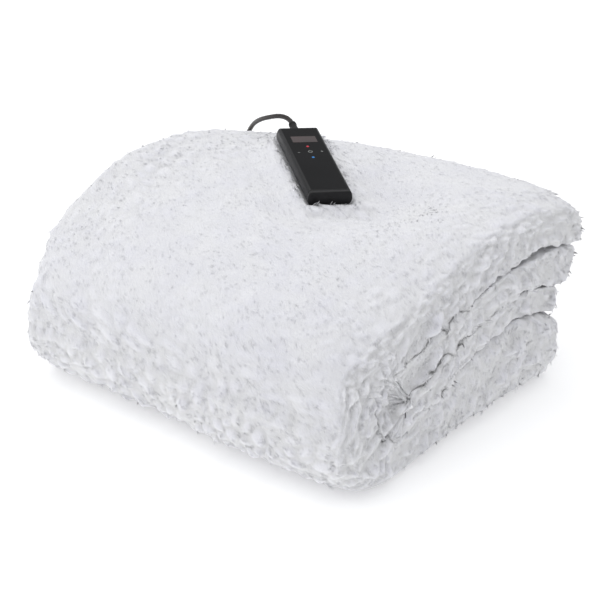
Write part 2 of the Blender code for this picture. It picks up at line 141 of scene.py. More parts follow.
PLAN_CENTRE = (0.0002, 0.0083)  # taken off, so that the pad lies about the origin

# ---------------------------------------------------------------- controller
CASE_LENGTH = 0.1442           # without the end cap
CASE_DEPTH = 0.016
CASE_TOP = (0.0866, 0.0375, 0.2107)          # middle of the case's face
CASE_YAW = 52.8                # degrees, as the next two
CASE_PITCH = 8.5
CASE_ROLL = 3.7
# Half outline of the case across its length, from the top face down.
#    half width  depth
CASE_PROFILE = (
    (0.0217, 0.0000),
    (0.0236, 0.0028),
    (0.0247, 0.0080),
    (0.0240, 0.0130),
    (0.0220, 0.0160),
)
CAP_LENGTH = 0.0050
JOINT_GAP = 0.0003             # between fitted pieces
PRESS_CLEAR = 0.0008           # between the case and the cloth under it
PRESS_NEAR = 0.030             # the dent is full up to here from the case
PRESS_FAR = 0.130              # and gone by here
PRESS_BOWL = 2.2               # how the dent round the case opens out
PRESS_EASE = 0.006             # how softly the dent starts
RIM = 0.0065                   # how far the pile swells up round the case

# ---------------------------------------------------------------- mains lead
LEAD_DIAMETER = 0.0056
# Strain relief from the case outwards, with a collar at its tip.
#    distance  radius
RELIEF_PROFILE = (
    (0.0003, 0.0052),
    (0.0040, 0.0052),
    (0.0060, 0.0044),
    (0.0190, 0.0037),
    (0.0205, 0.0045),
    (0.0240, 0.0043),
)
# From the strain relief over the pad and down behind it to the coil.
ROUTE = (
    (0.1447, 0.1149, 0.2171),
    (0.1491, 0.1208, 0.2182),
    (0.1528, 0.1295, 0.2190),
    (0.1560, 0.1390, 0.2180),
    (0.1592, 0.1500, 0.2152),
    (0.1637, 0.1640, 0.2098),
    (0.1690, 0.1775, 0.2040),
    (0.1752, 0.1910, 0.1970),
    (0.1830, 0.2060, 0.1870),
    (0.1905, 0.2200, 0.1725),
    (0.1965, 0.2320, 0.1530),
    (0.2005, 0.2405, 0.1290),
    (0.2030, 0.2455, 0.1010),
    (0.2045, 0.2485, 0.0720),
    (0.2055, 0.2510, 0.0480),
    (0.2062, 0.2555, 0.0280),
    (0.2068, 0.2645, 0.0130),
    (0.2072, 0.2770, 0.0052),
    (0.2073, 0.2900, 0.0031),
    (0.2073, 0.3010, 0.0031),
)
# From the top of the coil to the plug.
TAIL = (
    (0.1581, 0.3471, 0.0196),
    (0.1470, 0.3457, 0.0186),
    (0.1340, 0.3425, 0.0163),
    (0.1200, 0.3385, 0.0132),
    (0.1060, 0.3350, 0.0104),
    (0.0930, 0.3325, 0.0087),
    (0.0830, 0.3310, 0.0081),
)
COIL_CENTRE = (0.162, 0.302)
COIL_MIDDLE = 0.0335           # radius of its middle turn
COIL_COLUMNS = 3               # turns side by side
COIL_LAYERS = 4                # turns one above the other
PLUG_YAW = 188.5               # degrees
#    distance  half width  half height
PLUG_PROFILE = (
    (0.000, 0.0042, 0.0042),
    (0.012, 0.0052, 0.0050),
    (0.018, 0.0100, 0.0068),
    (0.032, 0.0125, 0.0078),
    (0.036, 0.0125, 0.0078),
)

# ---------------------------------------------------------------- stage
VIEW_TARGET = (0.0, -0.0095, 0.08)
VIEW_AZIMUTH = -51.0           # degrees, as the next one
VIEW_RISE = 25.5
VIEW_DISTANCE = 1.7258
VIEW_SHIFT = (0.0115, -0.0016)
FLOOR_HALF = 4


# ---------------------------------------------------------------- shape rules
def smooth_step(t):
    """Ease from 0 to 1 as t goes from 0 to 1."""
    t = np.clip(t, 0.0, 1.0)
    return t * t * (3.0 - 2.0 * t)


def mix(a, b, t):
    """Value between a and b."""
    return a + (b - a) * t


def through(values, places, t):
    """Smooth curve through values at places, read at t."""
    total = 0.0
    for k, value in enumerate(values):
        weight = 1.0
        for n, place in enumerate(places):
            if n != k:
                weight = weight * (t - place) / (places[k] - place)
        total = total + value * weight
    return total


def ply_heights(half, to_end):
    """Thickness and middle height of plies 1 to 4 above the core plane."""
    outer = through(STACK[half + " outer"], (0.0, 0.5, 1.0), to_end)
    inner = through(STACK[half + " inner"], (0.0, 0.5, 1.0), to_end)
    fourth = 0.5 * CORE_GAP + 0.5 * inner
    third = fourth + inner + PLY_GAP
    second = third + 0.5 * inner + PAIR_GAP + 0.5 * outer
    first = second + outer + PLY_GAP
    return (outer, outer, inner, inner), (first, second, third, fourth)


def stack_height(half, to_end):
    """Height of one half's four plies above the core plane."""
    thickness, height = ply_heights(half, to_end)
    return height[0] + 0.5 * thickness[0]


def fold_places(place):
    """Y of the folds and edges at a place from 0, bottom end, to 4, top end."""
    low = min(int(place), len(FOLD_Y) - 2)
    t = smooth_step(place - low)
    places = [mix(a, b, t) for a, b in zip(FOLD_Y[low][1:], FOLD_Y[low + 1][1:])]
    return [y + EDGE_WAVE * math.sin(2.6 * place + 1.9 * k)
            for k, y in enumerate(places)]


def fold_line(thickness, height, places):
    """Parts of the middle line: functions of t to (y, h, normal y, normal h, thickness)."""
    outer_fold, inner_fold, back_fold, free_edge = places

    def centre(reach, ply, side):
        radius = 0.5 * (height[ply] - height[ply + 1])
        return reach - side * (radius + 0.5 * thickness[ply])

    def straight(start, end, ply, facing):
        def at(t):
            near = t if ply == 2 else 1.0 - t
            swell = SWELL * float(smooth_step(6.0 * near - 5.0)) if ply > 0 else 0.0
            thick = thickness[ply] + swell
            return mix(start, end, t), height[ply], 0.0, facing, thick
        return at

    def fold(reach, ply, side):
        radius = 0.5 * (height[ply] - height[ply + 1])
        middle = 0.5 * (height[ply] + height[ply + 1])
        y_centre = centre(reach, ply, side)
        sign = -1.0 if side > 0 else 1.0

        def at(t):
            out = side * math.sin(math.pi * t)
            up = math.cos(math.pi * t)
            thick = mix(thickness[ply], thickness[ply + 1], t)
            if side < 0:
                power = FOLD_POWER[ply][int(up < 0.0)]
                full = (abs(out) ** power + abs(up) ** power) ** (-1.0 / power)
                out *= full
                up *= full
                thick += SWELL * (1.0 if ply == 2 else float(smooth_step(2.0 * t - 1.0)))
            return (y_centre + radius * out, middle + radius * up, sign * out, sign * up, thick)
        return at

    front_outer = centre(outer_fold, 0, -1)
    back = centre(back_fold, 1, 1)
    inner_fold -= INNER_OUT
    front_inner = centre(inner_fold, 2, -1)
    first_edge = free_edge - 0.5 * thickness[0]
    last_edge = free_edge - 0.5 * thickness[3]
    return (straight(first_edge, front_outer, 0, 1.0), fold(outer_fold, 0, -1),
            straight(front_outer, back, 1, -1.0), fold(back_fold, 1, 1),
            straight(back, front_inner, 2, 1.0), fold(inner_fold, 2, -1),
            straight(front_inner, last_edge, 3, -1.0))


def side_points(parts, side, column, shown_column, fullness, pile_in):
    """One side of the plies' outline: rows of (y, h, how far it shows)."""
    rows = []
    for part, steps in zip(parts, SECTION_STEPS):
        count = steps[column]
        shown = steps[shown_column]
        is_ply = "ply" in steps[0]
        start = part(0.0)
        end = part(1.0)
        long = abs(end[0] - start[0])
        for k in range(count):
            t = k / count
            if is_ply and shown == 0.0:
                t = 0.5 - 0.5 * math.cos(math.pi * t)
            y, h, ny, nh, thick = part(t)
            show = shown
            if is_ply and shown == 0.0:
                show = max(0.0, 1.0 - min(t, 1.0 - t) * long / SHOWN_DEPTH)
            inset = min(pile_in, 0.35 * thick) * show
            half = (0.5 * thick - inset) * fullness * side
            rows.append((y + ny * half, h + nh * half, show))
    y, h, ny, nh, thick = parts[-1](1.0)
    inset = min(pile_in, 0.35 * thick)
    half = (0.5 * thick - inset) * fullness * side
    rows.append((y, h + nh * half, 1.0))
    return rows


def edge_points(part, t, start_side, fullness, pile_in):
    """Points round a ply's free edge, from one side to the other."""
    y, h, _, nh, thick = part(t)
    half = (0.5 * thick - min(pile_in, 0.35 * thick)) * fullness
    rows = []
    for k in range(1, EDGE_STEPS + 1):
        turn = math.pi * k / (EDGE_STEPS + 1)
        rows.append((y + half * math.sin(turn), h + start_side * nh * half * math.cos(turn), 1.0))
    return rows


def section_outline(half, to_end, place, fullness, pile_in):
    """Closed outline round the plies as rows of (y, h, shown), and its near count."""
    thickness, height = ply_heights(half, to_end)
    parts = fold_line(thickness, height, fold_places(place))
    near = side_points(parts, 1.0, 1, 3, fullness, pile_in)
    far = side_points(parts, -1.0, 2, 4, fullness, pile_in)
    last = edge_points(parts[-1], 1.0, 1.0, fullness, pile_in)
    first = edge_points(parts[0], 0.0, -1.0, fullness, pile_in)
    return near + last + far[::-1] + first, len(near), len(far), 0.5 * (height[1] + height[2])


def wrap_stations(pile_in):
    """(place, half, share towards the open end, bend angle, x, fullness, shown)."""
    end = END_X - pile_in
    start = end - END_ROUND
    rows = []
    for step in reversed(END_STEPS):
        x = end - END_ROUND * (1.0 - step)
        rows.append((0.0, "bottom", 1.0, -0.5 * math.pi, x, math.sqrt(1 - step ** 2), 1.0))
    for k in range(1, STATIONS["bottom"]):
        t = 1.0 - k / STATIONS["bottom"]
        rows.append((1.0 - t, "bottom", t, -0.5 * math.pi, mix(BEND_X, start, t), 1.0, 0.0))
    for k in range(STATIONS["bend"] + 1):
        turn = math.pi * (k / STATIONS["bend"] - 0.5)
        half = "bottom" if turn < 0 else "top"
        rows.append((2.0 + turn / (0.5 * math.pi), half, 0.0, turn, BEND_X, 1.0, 0.0))
    for k in range(1, STATIONS["top"]):
        t = k / STATIONS["top"]
        rows.append((3.0 + t, "top", t, 0.5 * math.pi, mix(BEND_X, start, t), 1.0, 0.0))
    for step in END_STEPS:
        x = end - END_ROUND * (1.0 - step)
        rows.append((4.0, "top", 1.0, 0.5 * math.pi, x, math.sqrt(1 - step ** 2), 1.0))
    return rows


def corner_value(front, back, a, b):
    """Value between the four plan corners, with a and b from -1 to 1."""
    u = 0.5 + 0.5 * np.clip(a, -1.0, 1.0)
    v = 0.5 + 0.5 * np.clip(b, -1.0, 1.0)
    return mix(mix(front[0], front[1], u), mix(back[0], back[1], u), v)


def rise_at(a, b):
    """Height factor at a plan place, with a and b from -1 to 1."""
    a = np.clip(a, -1.0, 1.1)
    b = np.clip(b, -1.0, 1.0)
    rows = [through(RISE[side], RISE_X, a) for side in ("front", "middle", "back")]
    return through(rows, (-1.0, 0.0, 1.0), b)


def case_matrix():
    """Frame of the case: X across, Y along to the back end, Z out of its face."""
    turn = Matrix.Rotation(math.radians(CASE_YAW - 90.0), 4, "Z")
    tip = Matrix.Rotation(math.radians(CASE_PITCH), 4, "X")
    roll = Matrix.Rotation(math.radians(CASE_ROLL), 4, "Y")
    return Matrix.Translation(CASE_TOP) @ turn @ tip @ roll


CASE_FRAME = case_matrix()
CASE_INVERSE = np.array(CASE_FRAME.inverted())


def case_place(points):
    """Points in the case's frame, and how far each is from the case in its plan."""
    local = points @ CASE_INVERSE[:3, :3].T + CASE_INVERSE[:3, 3]
    out_x = np.maximum(0.0, np.abs(local[:, 0]) - CASE_PROFILE[2][0])
    half = 0.5 * (CASE_LENGTH + CAP_LENGTH)
    out_y = np.maximum(0.0, np.abs(local[:, 1] + 0.5 * CAP_LENGTH) - half)
    return local, np.hypot(out_x, out_y)


def settle(points, total):
    """Let the pad rise, lean and round off as it lies, from its flat stack."""
    x, y, z = points.T
    a = x / HALF_X
    b = y / HALF_Y
    level = z / total
    reach = np.abs(a * b) ** CORNER_POWER
    draw = corner_value(DRAW_IN_FRONT, DRAW_IN_BACK, a, b) * np.minimum(reach, 1.3)
    draw *= 1.0 - BELLY * np.sin(math.pi * np.clip(level, 0.0, 1.0))
    lean = TOP_OVERHANG * smooth_step(1.4 * level - 0.4) * smooth_step(a) ** 1.5
    bulge = BACK_BULGE * smooth_step(b) * np.maximum(0.0, 1.0 - a * a)
    toe = TOE * np.maximum(0.0, 1.0 - ((b + 0.45) / 0.6) ** 2) * smooth_step(-2.0 * a - 1.0)
    toe *= 1.0 - smooth_step(1.6 * level - 0.2)
    out_x = x + lean - toe - draw * np.sign(x) - PLAN_CENTRE[0]
    out_y = y + bulge - draw * np.sign(y) - PLAN_CENTRE[1]
    height = rise_at(a, b)
    top = np.stack([out_x, out_y, total * height], axis=1)
    out_z = z * height
    out_z -= SHOULDER * smooth_step(2.0 * level - 1.0) * smooth_step((-y - 0.150) / 0.080) ** 2
    return np.stack([out_x, out_y, out_z], axis=1), level, top


def press(points, level, top):
    """Sink the pad's top under the case, and let the pile swell up beside it."""
    local, away = case_place(top)
    ease = 1.0 - smooth_step((away - PRESS_NEAR) / (PRESS_FAR - PRESS_NEAR))
    most_up = 0.009 * (1.0 - smooth_step(away / 0.022))
    down = local[:, 2] + CASE_DEPTH + PRESS_CLEAR - PRESS_BOWL * away ** 2
    beside = 1.0 - smooth_step((away - 0.006) / 0.024)
    gentle = 0.5 * (down + np.sqrt(down ** 2 + PRESS_EASE ** 2))
    down = mix(gentle, np.maximum(down, -most_up), beside)
    down = ease * down
    down -= RIM * smooth_step(away / 0.0025) * (1.0 - smooth_step((away - 0.004) / 0.035))
    points[:, 2] -= down * smooth_step((level - 0.3) / 0.7)
    return points


# ---------------------------------------------------------------- mesh helpers
def add_mesh(name, verts, faces, mat=None, smooth=True):
    """Object from points and faces, with its faces made to point out."""
    mesh = bpy.data.meshes.new(name)
    mesh.from_pydata([tuple(v) for v in verts], [], faces)
    shape = bmesh.new()
    shape.from_mesh(mesh)
    bmesh.ops.recalc_face_normals(shape, faces=shape.faces)
    shape.to_mesh(mesh)
    shape.free()
    if smooth:
        mesh.shade_smooth()
    if mat:
        mesh.materials.append(mat)
    obj = bpy.data.objects.new(name, mesh)
    bpy.context.collection.objects.link(obj)
    return obj


def ring_faces(ring_count, count):
    """Faces between rings of equal count."""
    faces = []
    for k in range(ring_count - 1):
        for j in range(count):
            n = (j + 1) % count
            faces.append((k * count + j, k * count + n,
                          (k + 1) * count + n, (k + 1) * count + j))
    return faces


def bridged(rings):
    """Points and faces of rings of equal count, closed by a face at both ends."""
    count = len(rings[0])
    verts = [point for ring in rings for point in ring]
    faces = ring_faces(len(rings), count)
    faces.append(tuple(range(count)))
    faces.append(tuple(range((len(rings) - 1) * count, len(rings) * count)))
    return verts, faces


def zipped(a, b):
    """Triangles between two open point rows of unequal counts, by index."""
    faces = []
    i = j = 0
    while i < len(a) - 1 or j < len(b) - 1:
        if j == len(b) - 1 or (i < len(a) - 1 and (i + 1) * len(b) <= (j + 1) * len(a)):
            faces.append((a[i], a[i + 1], b[j]))
            i += 1
        else:
            faces.append((a[i], b[j + 1], b[j]))
            j += 1
    return faces


def set_values(mesh, name, kind, values):
    """Store one value or vector a point on the mesh."""
    layer = mesh.attributes.new(name, kind, "POINT")
    field = "vector" if kind == "FLOAT_VECTOR" else "value"
    layer.data.foreach_set(field, np.asarray(values, np.float32).ravel())


def curve_point(p0, p1, p2, p3, t):
    """Point between p1 and p2 on the smooth curve through four points."""
    return 0.5 * (2.0 * p1 + (p2 - p0) * t
                  + (2.0 * p0 - 5.0 * p1 + 4.0 * p2 - p3) * t ** 2
                  + (3.0 * p1 - p0 - 3.0 * p2 + p3) * t ** 3)


def placed_smooth(points, step):
    """Points a step apart on one smooth curve through the given points."""
    knots = [Vector(p) for p in points]
    knots = [2.0 * knots[0] - knots[1]] + knots + [2.0 * knots[-1] - knots[-2]]
    fine = []
    for k in range(1, len(knots) - 2):
        fine += [curve_point(*knots[k - 1:k + 3], n / 12) for n in range(12)]
    fine.append(knots[-2])
    length = [0.0]
    for a, b in zip(fine, fine[1:]):
        length.append(length[-1] + (b - a).length)
    count = max(2, round(length[-1] / step))
    places = np.linspace(0.0, length[-1], count + 1)
    return [tuple(np.interp(s, length, [p[axis] for p in fine]) for axis in range(3))
            for s in places]


# ---------------------------------------------------------------- materials
def new_node(tree, kind, place, inputs=None, **values):
    """Node of a kind with its settings, and its inputs set or linked."""
    node = tree.nodes.new(kind)
    node.location = place
    for name, value in values.items():
        setattr(node, name, value)
    for key, value in (inputs or {}).items():
        if isinstance(value, bpy.types.NodeSocket):
            tree.links.new(value, node.inputs[key])
        else:
            node.inputs[key].default_value = value
    return node


def add_socket(tree, label, kind, side="INPUT"):
    """Named input or output of a node group."""
    return tree.interface.new_socket(label, in_out=side, socket_type="NodeSocket" + kind)


def object_place(tree, place):
    """The surface's own coordinates."""
    return new_node(tree, "ShaderNodeTexCoord", place).outputs["Object"]


def tint_group():
    """Shared effect: slow tint and fine tone that change over a surface."""
    name = "Uneven tone"
    if name in bpy.data.node_groups:
        return bpy.data.node_groups[name]
    tree = bpy.data.node_groups.new(name, "ShaderNodeTree")
    for label, size in (("Patch Size", 12.0), ("Grain Size", 240.0)):
        add_socket(tree, label, "Float").default_value = size
    for label in ("Patch", "Grain"):
        add_socket(tree, label, "Float", "OUTPUT")
    given = new_node(tree, "NodeGroupInput", (-700, 0)).outputs
    place = object_place(tree, (-700, -250))
    results = {}
    for row, (label, detail) in enumerate((("Patch", 2.0), ("Grain", 4.0))):
        cloud = new_node(tree, "ShaderNodeTexNoise", (-400, -250 * row), {
            "Detail": detail, "Vector": place, "Scale": given[label + " Size"]})
        results[label] = cloud.outputs["Fac"]
    new_node(tree, "NodeGroupOutput", (300, 0), results)
    return tree


def plain_material(name, colour, roughness, **sockets):
    """Principled material with constant values on its own sockets."""
    mat = bpy.data.materials.new(name)
    mat.use_nodes = True
    shader = mat.node_tree.nodes["Principled BSDF"]
    shader.inputs["Base Color"].default_value = (*colour, 1.0)
    shader.inputs["Roughness"].default_value = roughness
    for label, value in sockets.items():
        shader.inputs[label.replace("_", " ")].default_value = value
    return mat, mat.node_tree, shader


def add_tone(tree, shader, light, dark, patch, grain, bump):
    """Colour from patches and bump from grain, with the shared group."""
    tone = new_node(tree, "ShaderNodeGroup", (-800, 0),
                    {"Patch Size": patch, "Grain Size": grain}, node_tree=tint_group())
    ramp = new_node(tree, "ShaderNodeMapRange", (-560, 100), {
        "From Min": 0.35, "From Max": 0.65, "Value": tone.outputs["Patch"]})
    blend = new_node(tree, "ShaderNodeMix", (-320, 100), {
        "A": (*dark, 1.0), "B": (*light, 1.0), "Factor": ramp.outputs["Result"]},
        data_type="RGBA")
    relief = new_node(tree, "ShaderNodeBump", (-320, -200), {
        "Strength": bump, "Distance": 0.0004, "Height": tone.outputs["Grain"]})
    tree.links.new(blend.outputs["Result"], shader.inputs["Base Color"])
    tree.links.new(relief.outputs["Normal"], shader.inputs["Normal"])
    return blend


def toned_material(name, colour, roughness, tone, **sockets):
    """Principled material with the shared tone: light, dark, patch, grain and bump."""
    mat, tree, shader = plain_material(name, colour, roughness, **sockets)
    add_tone(tree, shader, *tone)
    return mat


def combed_group():
    """Shared effect: fine streaks that run the way the pile lies."""
    tree = bpy.data.node_groups.new("Combed streaks", "ShaderNodeTree")
    add_socket(tree, "Streaks", "Float", "OUTPUT")
    turn = new_node(tree, "ShaderNodeMapping", (-450, 0), {
        "Rotation": Vector(COMB).to_track_quat("X", "Z").to_euler(),
        "Scale": (3.5, 1.0, 1.0), "Vector": object_place(tree, (-700, 0))},
        vector_type="TEXTURE")
    total = 0.0
    for row, (scale, weight) in enumerate(((260.0, 0.6), (620.0, 0.4))):
        cloud = new_node(tree, "ShaderNodeTexNoise", (-200, -250 * row), {
            "Scale": scale, "Detail": 2.0, "Vector": turn.outputs["Vector"]})
        total = new_node(tree, "ShaderNodeMath", (0, -250 * row), {
            0: cloud.outputs["Fac"], 1: weight, 2: total},
            operation="MULTIPLY_ADD").outputs[0]
    new_node(tree, "NodeGroupOutput", (400, 0), {"Streaks": total})
    return tree


def fleece_material(name, light, dark, gap, deep):
    """White pile: cool in its patches, with a little yellow painted shade down at its roots and
    in the creases between its lumps.
    """
    mat, tree, shader = plain_material(
        name, light, 0.95, Sheen_Weight=0.15, Sheen_Roughness=0.6, Specular_IOR_Level=0.10,
        Subsurface_Weight=deep, Subsurface_Scale=0.0060, Subsurface_Radius=(1.0, 1.0, 1.0))
    blend = add_tone(tree, shader, light, dark, 26.0, 420.0, 0.10)
    # The gap colour is painted shade: it is mixed in where the tip value is low, at the roots of
    # the locks and in the creases between the lumps.
    tip = new_node(tree, "ShaderNodeAttribute", (-560, 380), attribute_name="tip")
    rooted = new_node(tree, "ShaderNodeMix", (-80, 200), {
        "A": (*gap, 1.0), "Factor": tip.outputs["Fac"], "B": blend.outputs["Result"]},
        data_type="RGBA")
    tree.links.new(rooted.outputs["Result"], shader.inputs["Base Color"])
    if deep:
        streaks = new_node(tree, "ShaderNodeGroup", (-320, -420), node_tree=combed_group())
        relief = new_node(tree, "ShaderNodeBump", (-80, -300), {
            "Strength": 1.0, "Distance": 0.0024, "Height": streaks.outputs["Streaks"]})
        tree.links.new(relief.outputs["Normal"], shader.inputs["Normal"])
    return mat


# ---------------------------------------------------------------- fleece
def fleece_points(pile_in):
    """Rings of the settled fleece, with how far each point shows."""
    rings = []
    shown = []
    counts = None
    for place, half, to_end, turn, x, fullness, end_shown in wrap_stations(pile_in):
        rows, near, far, between = section_outline(half, to_end, place, fullness, pile_in)
        counts = (near, far)
        y, h, show = np.array(rows).T
        core = stack_height("bottom", to_end)
        total = core + stack_height("top", to_end)
        inner = fold_places(place)[1] - INNER_OUT
        fill = smooth_step(1.0 - h / CORE_FILL) * smooth_step((inner + 0.040 - y) / 0.025)
        y = y - CORE_OUT * fill * (1.0 - smooth_step(3.0 * to_end))
        if abs(turn) < 1.5:
            h = np.maximum(h, 0.0004)
        out = abs(math.cos(turn)) ** (2.0 / BEND_POWER)
        up = math.copysign(abs(math.sin(turn)) ** (2.0 / BEND_POWER), math.sin(turn))
        stand_off = POCKET * smooth_step((h - between) / 0.02 + 0.5)
        flat = np.stack([x - (h + stand_off) * out, y, core + h * up], axis=1)
        points, level, top = settle(flat, total)
        rings.append(press(points, level, top))
        near_end = smooth_step(1.0 - (END_X - x) / (1.6 * END_ROUND)) if abs(turn) > 1.5 else 0.0
        shown.append(np.maximum(show, max(end_shown, near_end)))
    return np.array(rings), np.array(shown), counts


def fleece_faces(ring_count, count, near, far):
    """Faces of the swept plies, closed ply by ply at the open ends."""
    faces = ring_faces(ring_count, count)
    for base in (0, (ring_count - 1) * count):
        last = near + EDGE_STEPS
        first = last + far
        near_row = [base + j for j in range(near)]
        far_row = [base + last + far - 1 - j for j in range(far)]
        faces += zipped_by_place(near_row, far_row)
        last_edge = [base + near - 1 + j for j in range(EDGE_STEPS + 2)]
        first_edge = [base + (first - 1 + j) % count for j in range(EDGE_STEPS + 1)] + [base]
        faces.append(tuple(last_edge))
        faces.append(tuple(first_edge))
    return faces


def zipped_by_place(near_row, far_row):
    """Triangles part by part, so that each fold's near and far steps match."""
    faces = []
    i = j = 0
    for steps in SECTION_STEPS:
        a = near_row[i:i + steps[1] + 1]
        b = far_row[j:j + steps[2] + 1]
        faces += zipped(a, b)
        i += steps[1]
        j += steps[2]
    return faces


def openness(obj, places, normals, shown):
    """Share of the view out of each point that no other part of the cloth blocks."""
    tree = BVHTree.FromObject(obj, bpy.context.evaluated_depsgraph_get())
    free = np.zeros(len(places))
    for k in np.flatnonzero(shown > 0.0):
        n = Vector(normals[k])
        start = Vector(places[k]) + n * 0.002
        across = n.orthogonal().normalized()
        up = n.cross(across)
        clear = 0
        for turn in range(6):
            way = n + 0.9 * (across * math.cos(math.pi * turn / 3)
                             + up * math.sin(math.pi * turn / 3))
            clear += tree.ray_cast(start, way.normalized(), OPEN_REACH)[0] is None
        free[k] = clear / 6.0
    return free


def roughness_at(p, n, free):
    """How lumpy the pile is: smooth on top, lumpy on the sides and near the foot."""
    front = float(smooth_step((-n.y - 0.10) / 0.50))
    crease = float(smooth_step((-p.y - 0.180) / 0.02) * smooth_step(3.0 - 3.3 * free))
    front = max(front, crease)
    rear = float(smooth_step((max(n.y, n.x) - 0.20) / 0.45))
    wrap = float(smooth_step((-n.x - 0.10) / 0.40)) * float(smooth_step((0.145 - p.z) / 0.085))
    edge = float(smooth_step((-p.y - 0.12) / 0.11)) * float(smooth_step((p.z - 0.10) / 0.06))
    back = float(smooth_step((p.y - 0.08) / 0.12)) * float(smooth_step((p.z - 0.13) / 0.04))
    rough = max(front, 0.9 * rear, 0.95 * wrap, 0.40 * edge, 0.50 * back)
    return rough, front, wrap, crease


def lump_field(places, normals, shown, free, settings):
    """How each point moves into its lump, the way and size of its pile, and how much painted
    shade it takes in the creases.
    """
    count = len(places)
    move = np.zeros((count, 3))
    comb = np.zeros((count, 3))
    size = np.ones(count)
    rough_all = np.zeros(count)
    tone = np.zeros(count)
    for k in np.flatnonzero(shown > 0.0):
        p = Vector(places[k])
        n = Vector(normals[k])
        rough, front, wrap, crease = roughness_at(p, n, free[k])
        lean = Vector(COMB).lerp(WRAP_COMB, wrap * (1.0 - front))
        lean += noise.noise_vector(p * 9.0 + COMB_PLACE) * (0.30 + 0.45 * rough)
        lean -= n * lean.dot(n)
        lean.normalize()
        warp = noise.noise_vector(p * 28.0) * 0.006
        stretch = 1.15 + 0.60 * front + 0.9 * (1.0 - rough)
        q = p + warp
        cell = settings.lump_size * (0.80 + 0.05 * front + 0.35 * (1.0 - rough))
        q = (q - lean * (q.dot(lean) * (1.0 - 1.0 / stretch))) / cell
        reach, centres = noise.voronoi(q)
        pillow = float(smooth_step((reach[1] - reach[0]) / 0.62))
        off = q - centres[0]
        along = max(-1.0, min(1.0, 2.0 * off.dot(lean)))
        aside = off - lean * off.dot(lean)
        slow = noise.noise(p * 13.0)
        billow = abs(noise.noise(p * 62.0 + COMB_PLACE)) - 0.22
        open_share = mix(0.50 + 0.50 * float(smooth_step(free[k] * 1.6)), 1.0, front)
        height = settings.lump_height * (0.12 + 0.78 * rough + 0.75 * front) * open_share
        up = height * (pillow * (0.70 + 0.30 * along) - 0.62 + 0.20 * front)
        up *= 1.0 - 0.30 * crease
        up += CREASE_UP * crease * (1.5 - 1.3 * float(smooth_step((p.x + 0.09) / 0.17)))
        up += (0.0026 + 0.0030 * front) * slow
        up += (0.0040 - 0.0018 * front) * (0.15 + 0.85 * rough) * billow * open_share
        hang = float(smooth_step((n.z + 0.55) / 0.60))
        ahead = pillow * (0.5 + 0.5 * along) * open_share * hang
        ahead *= settings.overhang * rough * (1.0 - 0.75 * max(front, 0.6 * wrap))
        move[k] = (n * up + lean * ahead) * float(shown[k])
        stray = noise.noise_vector(p * 34.0 + COMB_PLACE)
        way = lean + stray * (0.12 + 0.40 * rough) - aside * (1.2 * rough)
        comb[k] = way - n * way.dot(n)
        size[k] = 0.90 + 0.20 * rough + 0.25 * slow
        rough_all[k] = rough
        # Painted shade: the tone drops in the creases between lumps, more where the pile is
        # rough.
        tone[k] = 1.0 - (0.20 + 0.50 * rough) * (1.0 - pillow) ** 2
    return move, comb, size, rough_all, tone


def soften(grid):
    """Even out values on the rings of points, so that the lumps are round."""
    for _ in range(SOFTEN_STEPS):
        around = 0.5 * (np.roll(grid, 1, axis=1) + np.roll(grid, -1, axis=1))
        along = grid.copy()
        along[1:-1] = 0.5 * (grid[:-2] + grid[2:])
        grid = mix(grid, 0.5 * (around + along), 0.5)
    return grid


def shrink_near_case(places, comb, size):
    """Turn the pile away from the case where it would lean into it."""
    local = case_place(places)[0]
    side = np.clip(local[:, 0], -CASE_PROFILE[2][0], CASE_PROFILE[2][0])
    half = 0.5 * CASE_LENGTH
    along = np.clip(local[:, 1], -half - CAP_LENGTH, half)
    off = np.stack([local[:, 0] - side, local[:, 1] - along, np.zeros(len(side))], axis=1)
    away_world = off @ CASE_INVERSE[:3, :3]
    length = np.linalg.norm(away_world, axis=1)
    outward = away_world / np.maximum(length, 1e-6)[:, None]
    close = (1.0 - smooth_step(length / 0.012)) * (length > 0.0)
    into = np.minimum(0.0, np.sum(comb * outward, axis=1))
    comb -= outward * (into * close - 0.8 * close)[:, None]
    size *= 1.0 + 0.55 * close
    return comb, size, length, close


def pile_cover(places, normals, shown, under_case):
    """How densely the pile grows at each point."""
    grows = shown * (places[:, 2] > 0.0035) * (1.0 - under_case)
    return grows * (normals[:, 2] > -0.75)


def zone_of_faces(mesh):
    """Zone number of each face, by the way it faces."""
    count = len(mesh.polygons)
    normals = np.empty(count * 3, np.float32)
    centres = np.empty(count * 3, np.float32)
    mesh.polygons.foreach_get("normal", normals)
    mesh.polygons.foreach_get("center", centres)
    nx, ny, nz = normals.reshape(-1, 3).T
    x = centres.reshape(-1, 3)[:, 0]
    zone = np.argmax(np.stack([-nx, -ny, ny, nx, nz]), axis=0)
    top_right, top_left = ZONES.index("top_right"), ZONES.index("top_left")
    return np.where((zone == top_right) & (x < TOP_SPLIT_X), top_left, zone)


def lock_mesh(name, curl, lift):
    """One wisp of pile, a unit long: a soft bent spike with three sides."""
    #        along  across  up    half width  tip
    rows = ((0.00, 0.0,    -0.80, 0.50,       0.0),
            (0.55, 0.35,    0.00, 0.42,       0.8))
    verts = []
    tip = []
    for along, across, up, wide, share in rows:
        for side, high in ((0.0, 0.8), (-0.9, -0.4), (0.9, -0.4)):
            verts.append((along, across * curl + wide * side, up * lift + wide * high))
            tip.append(share)
    verts.append((1.0, curl, 0.30 * lift))
    tip.append(1.0)
    faces = [(0, 2, 1)]
    for k in range(3):
        n = (k + 1) % 3
        faces.append((k, n, 3 + n, 3 + k))
        faces.append((3 + k, 3 + n, 6))
    obj = add_mesh(name, verts, faces)
    # The tip value runs from 0 at the root to 1 at the tip; by it the material paints shade at
    # the roots.
    set_values(obj.data, "tip", "FLOAT", tip)
    return obj


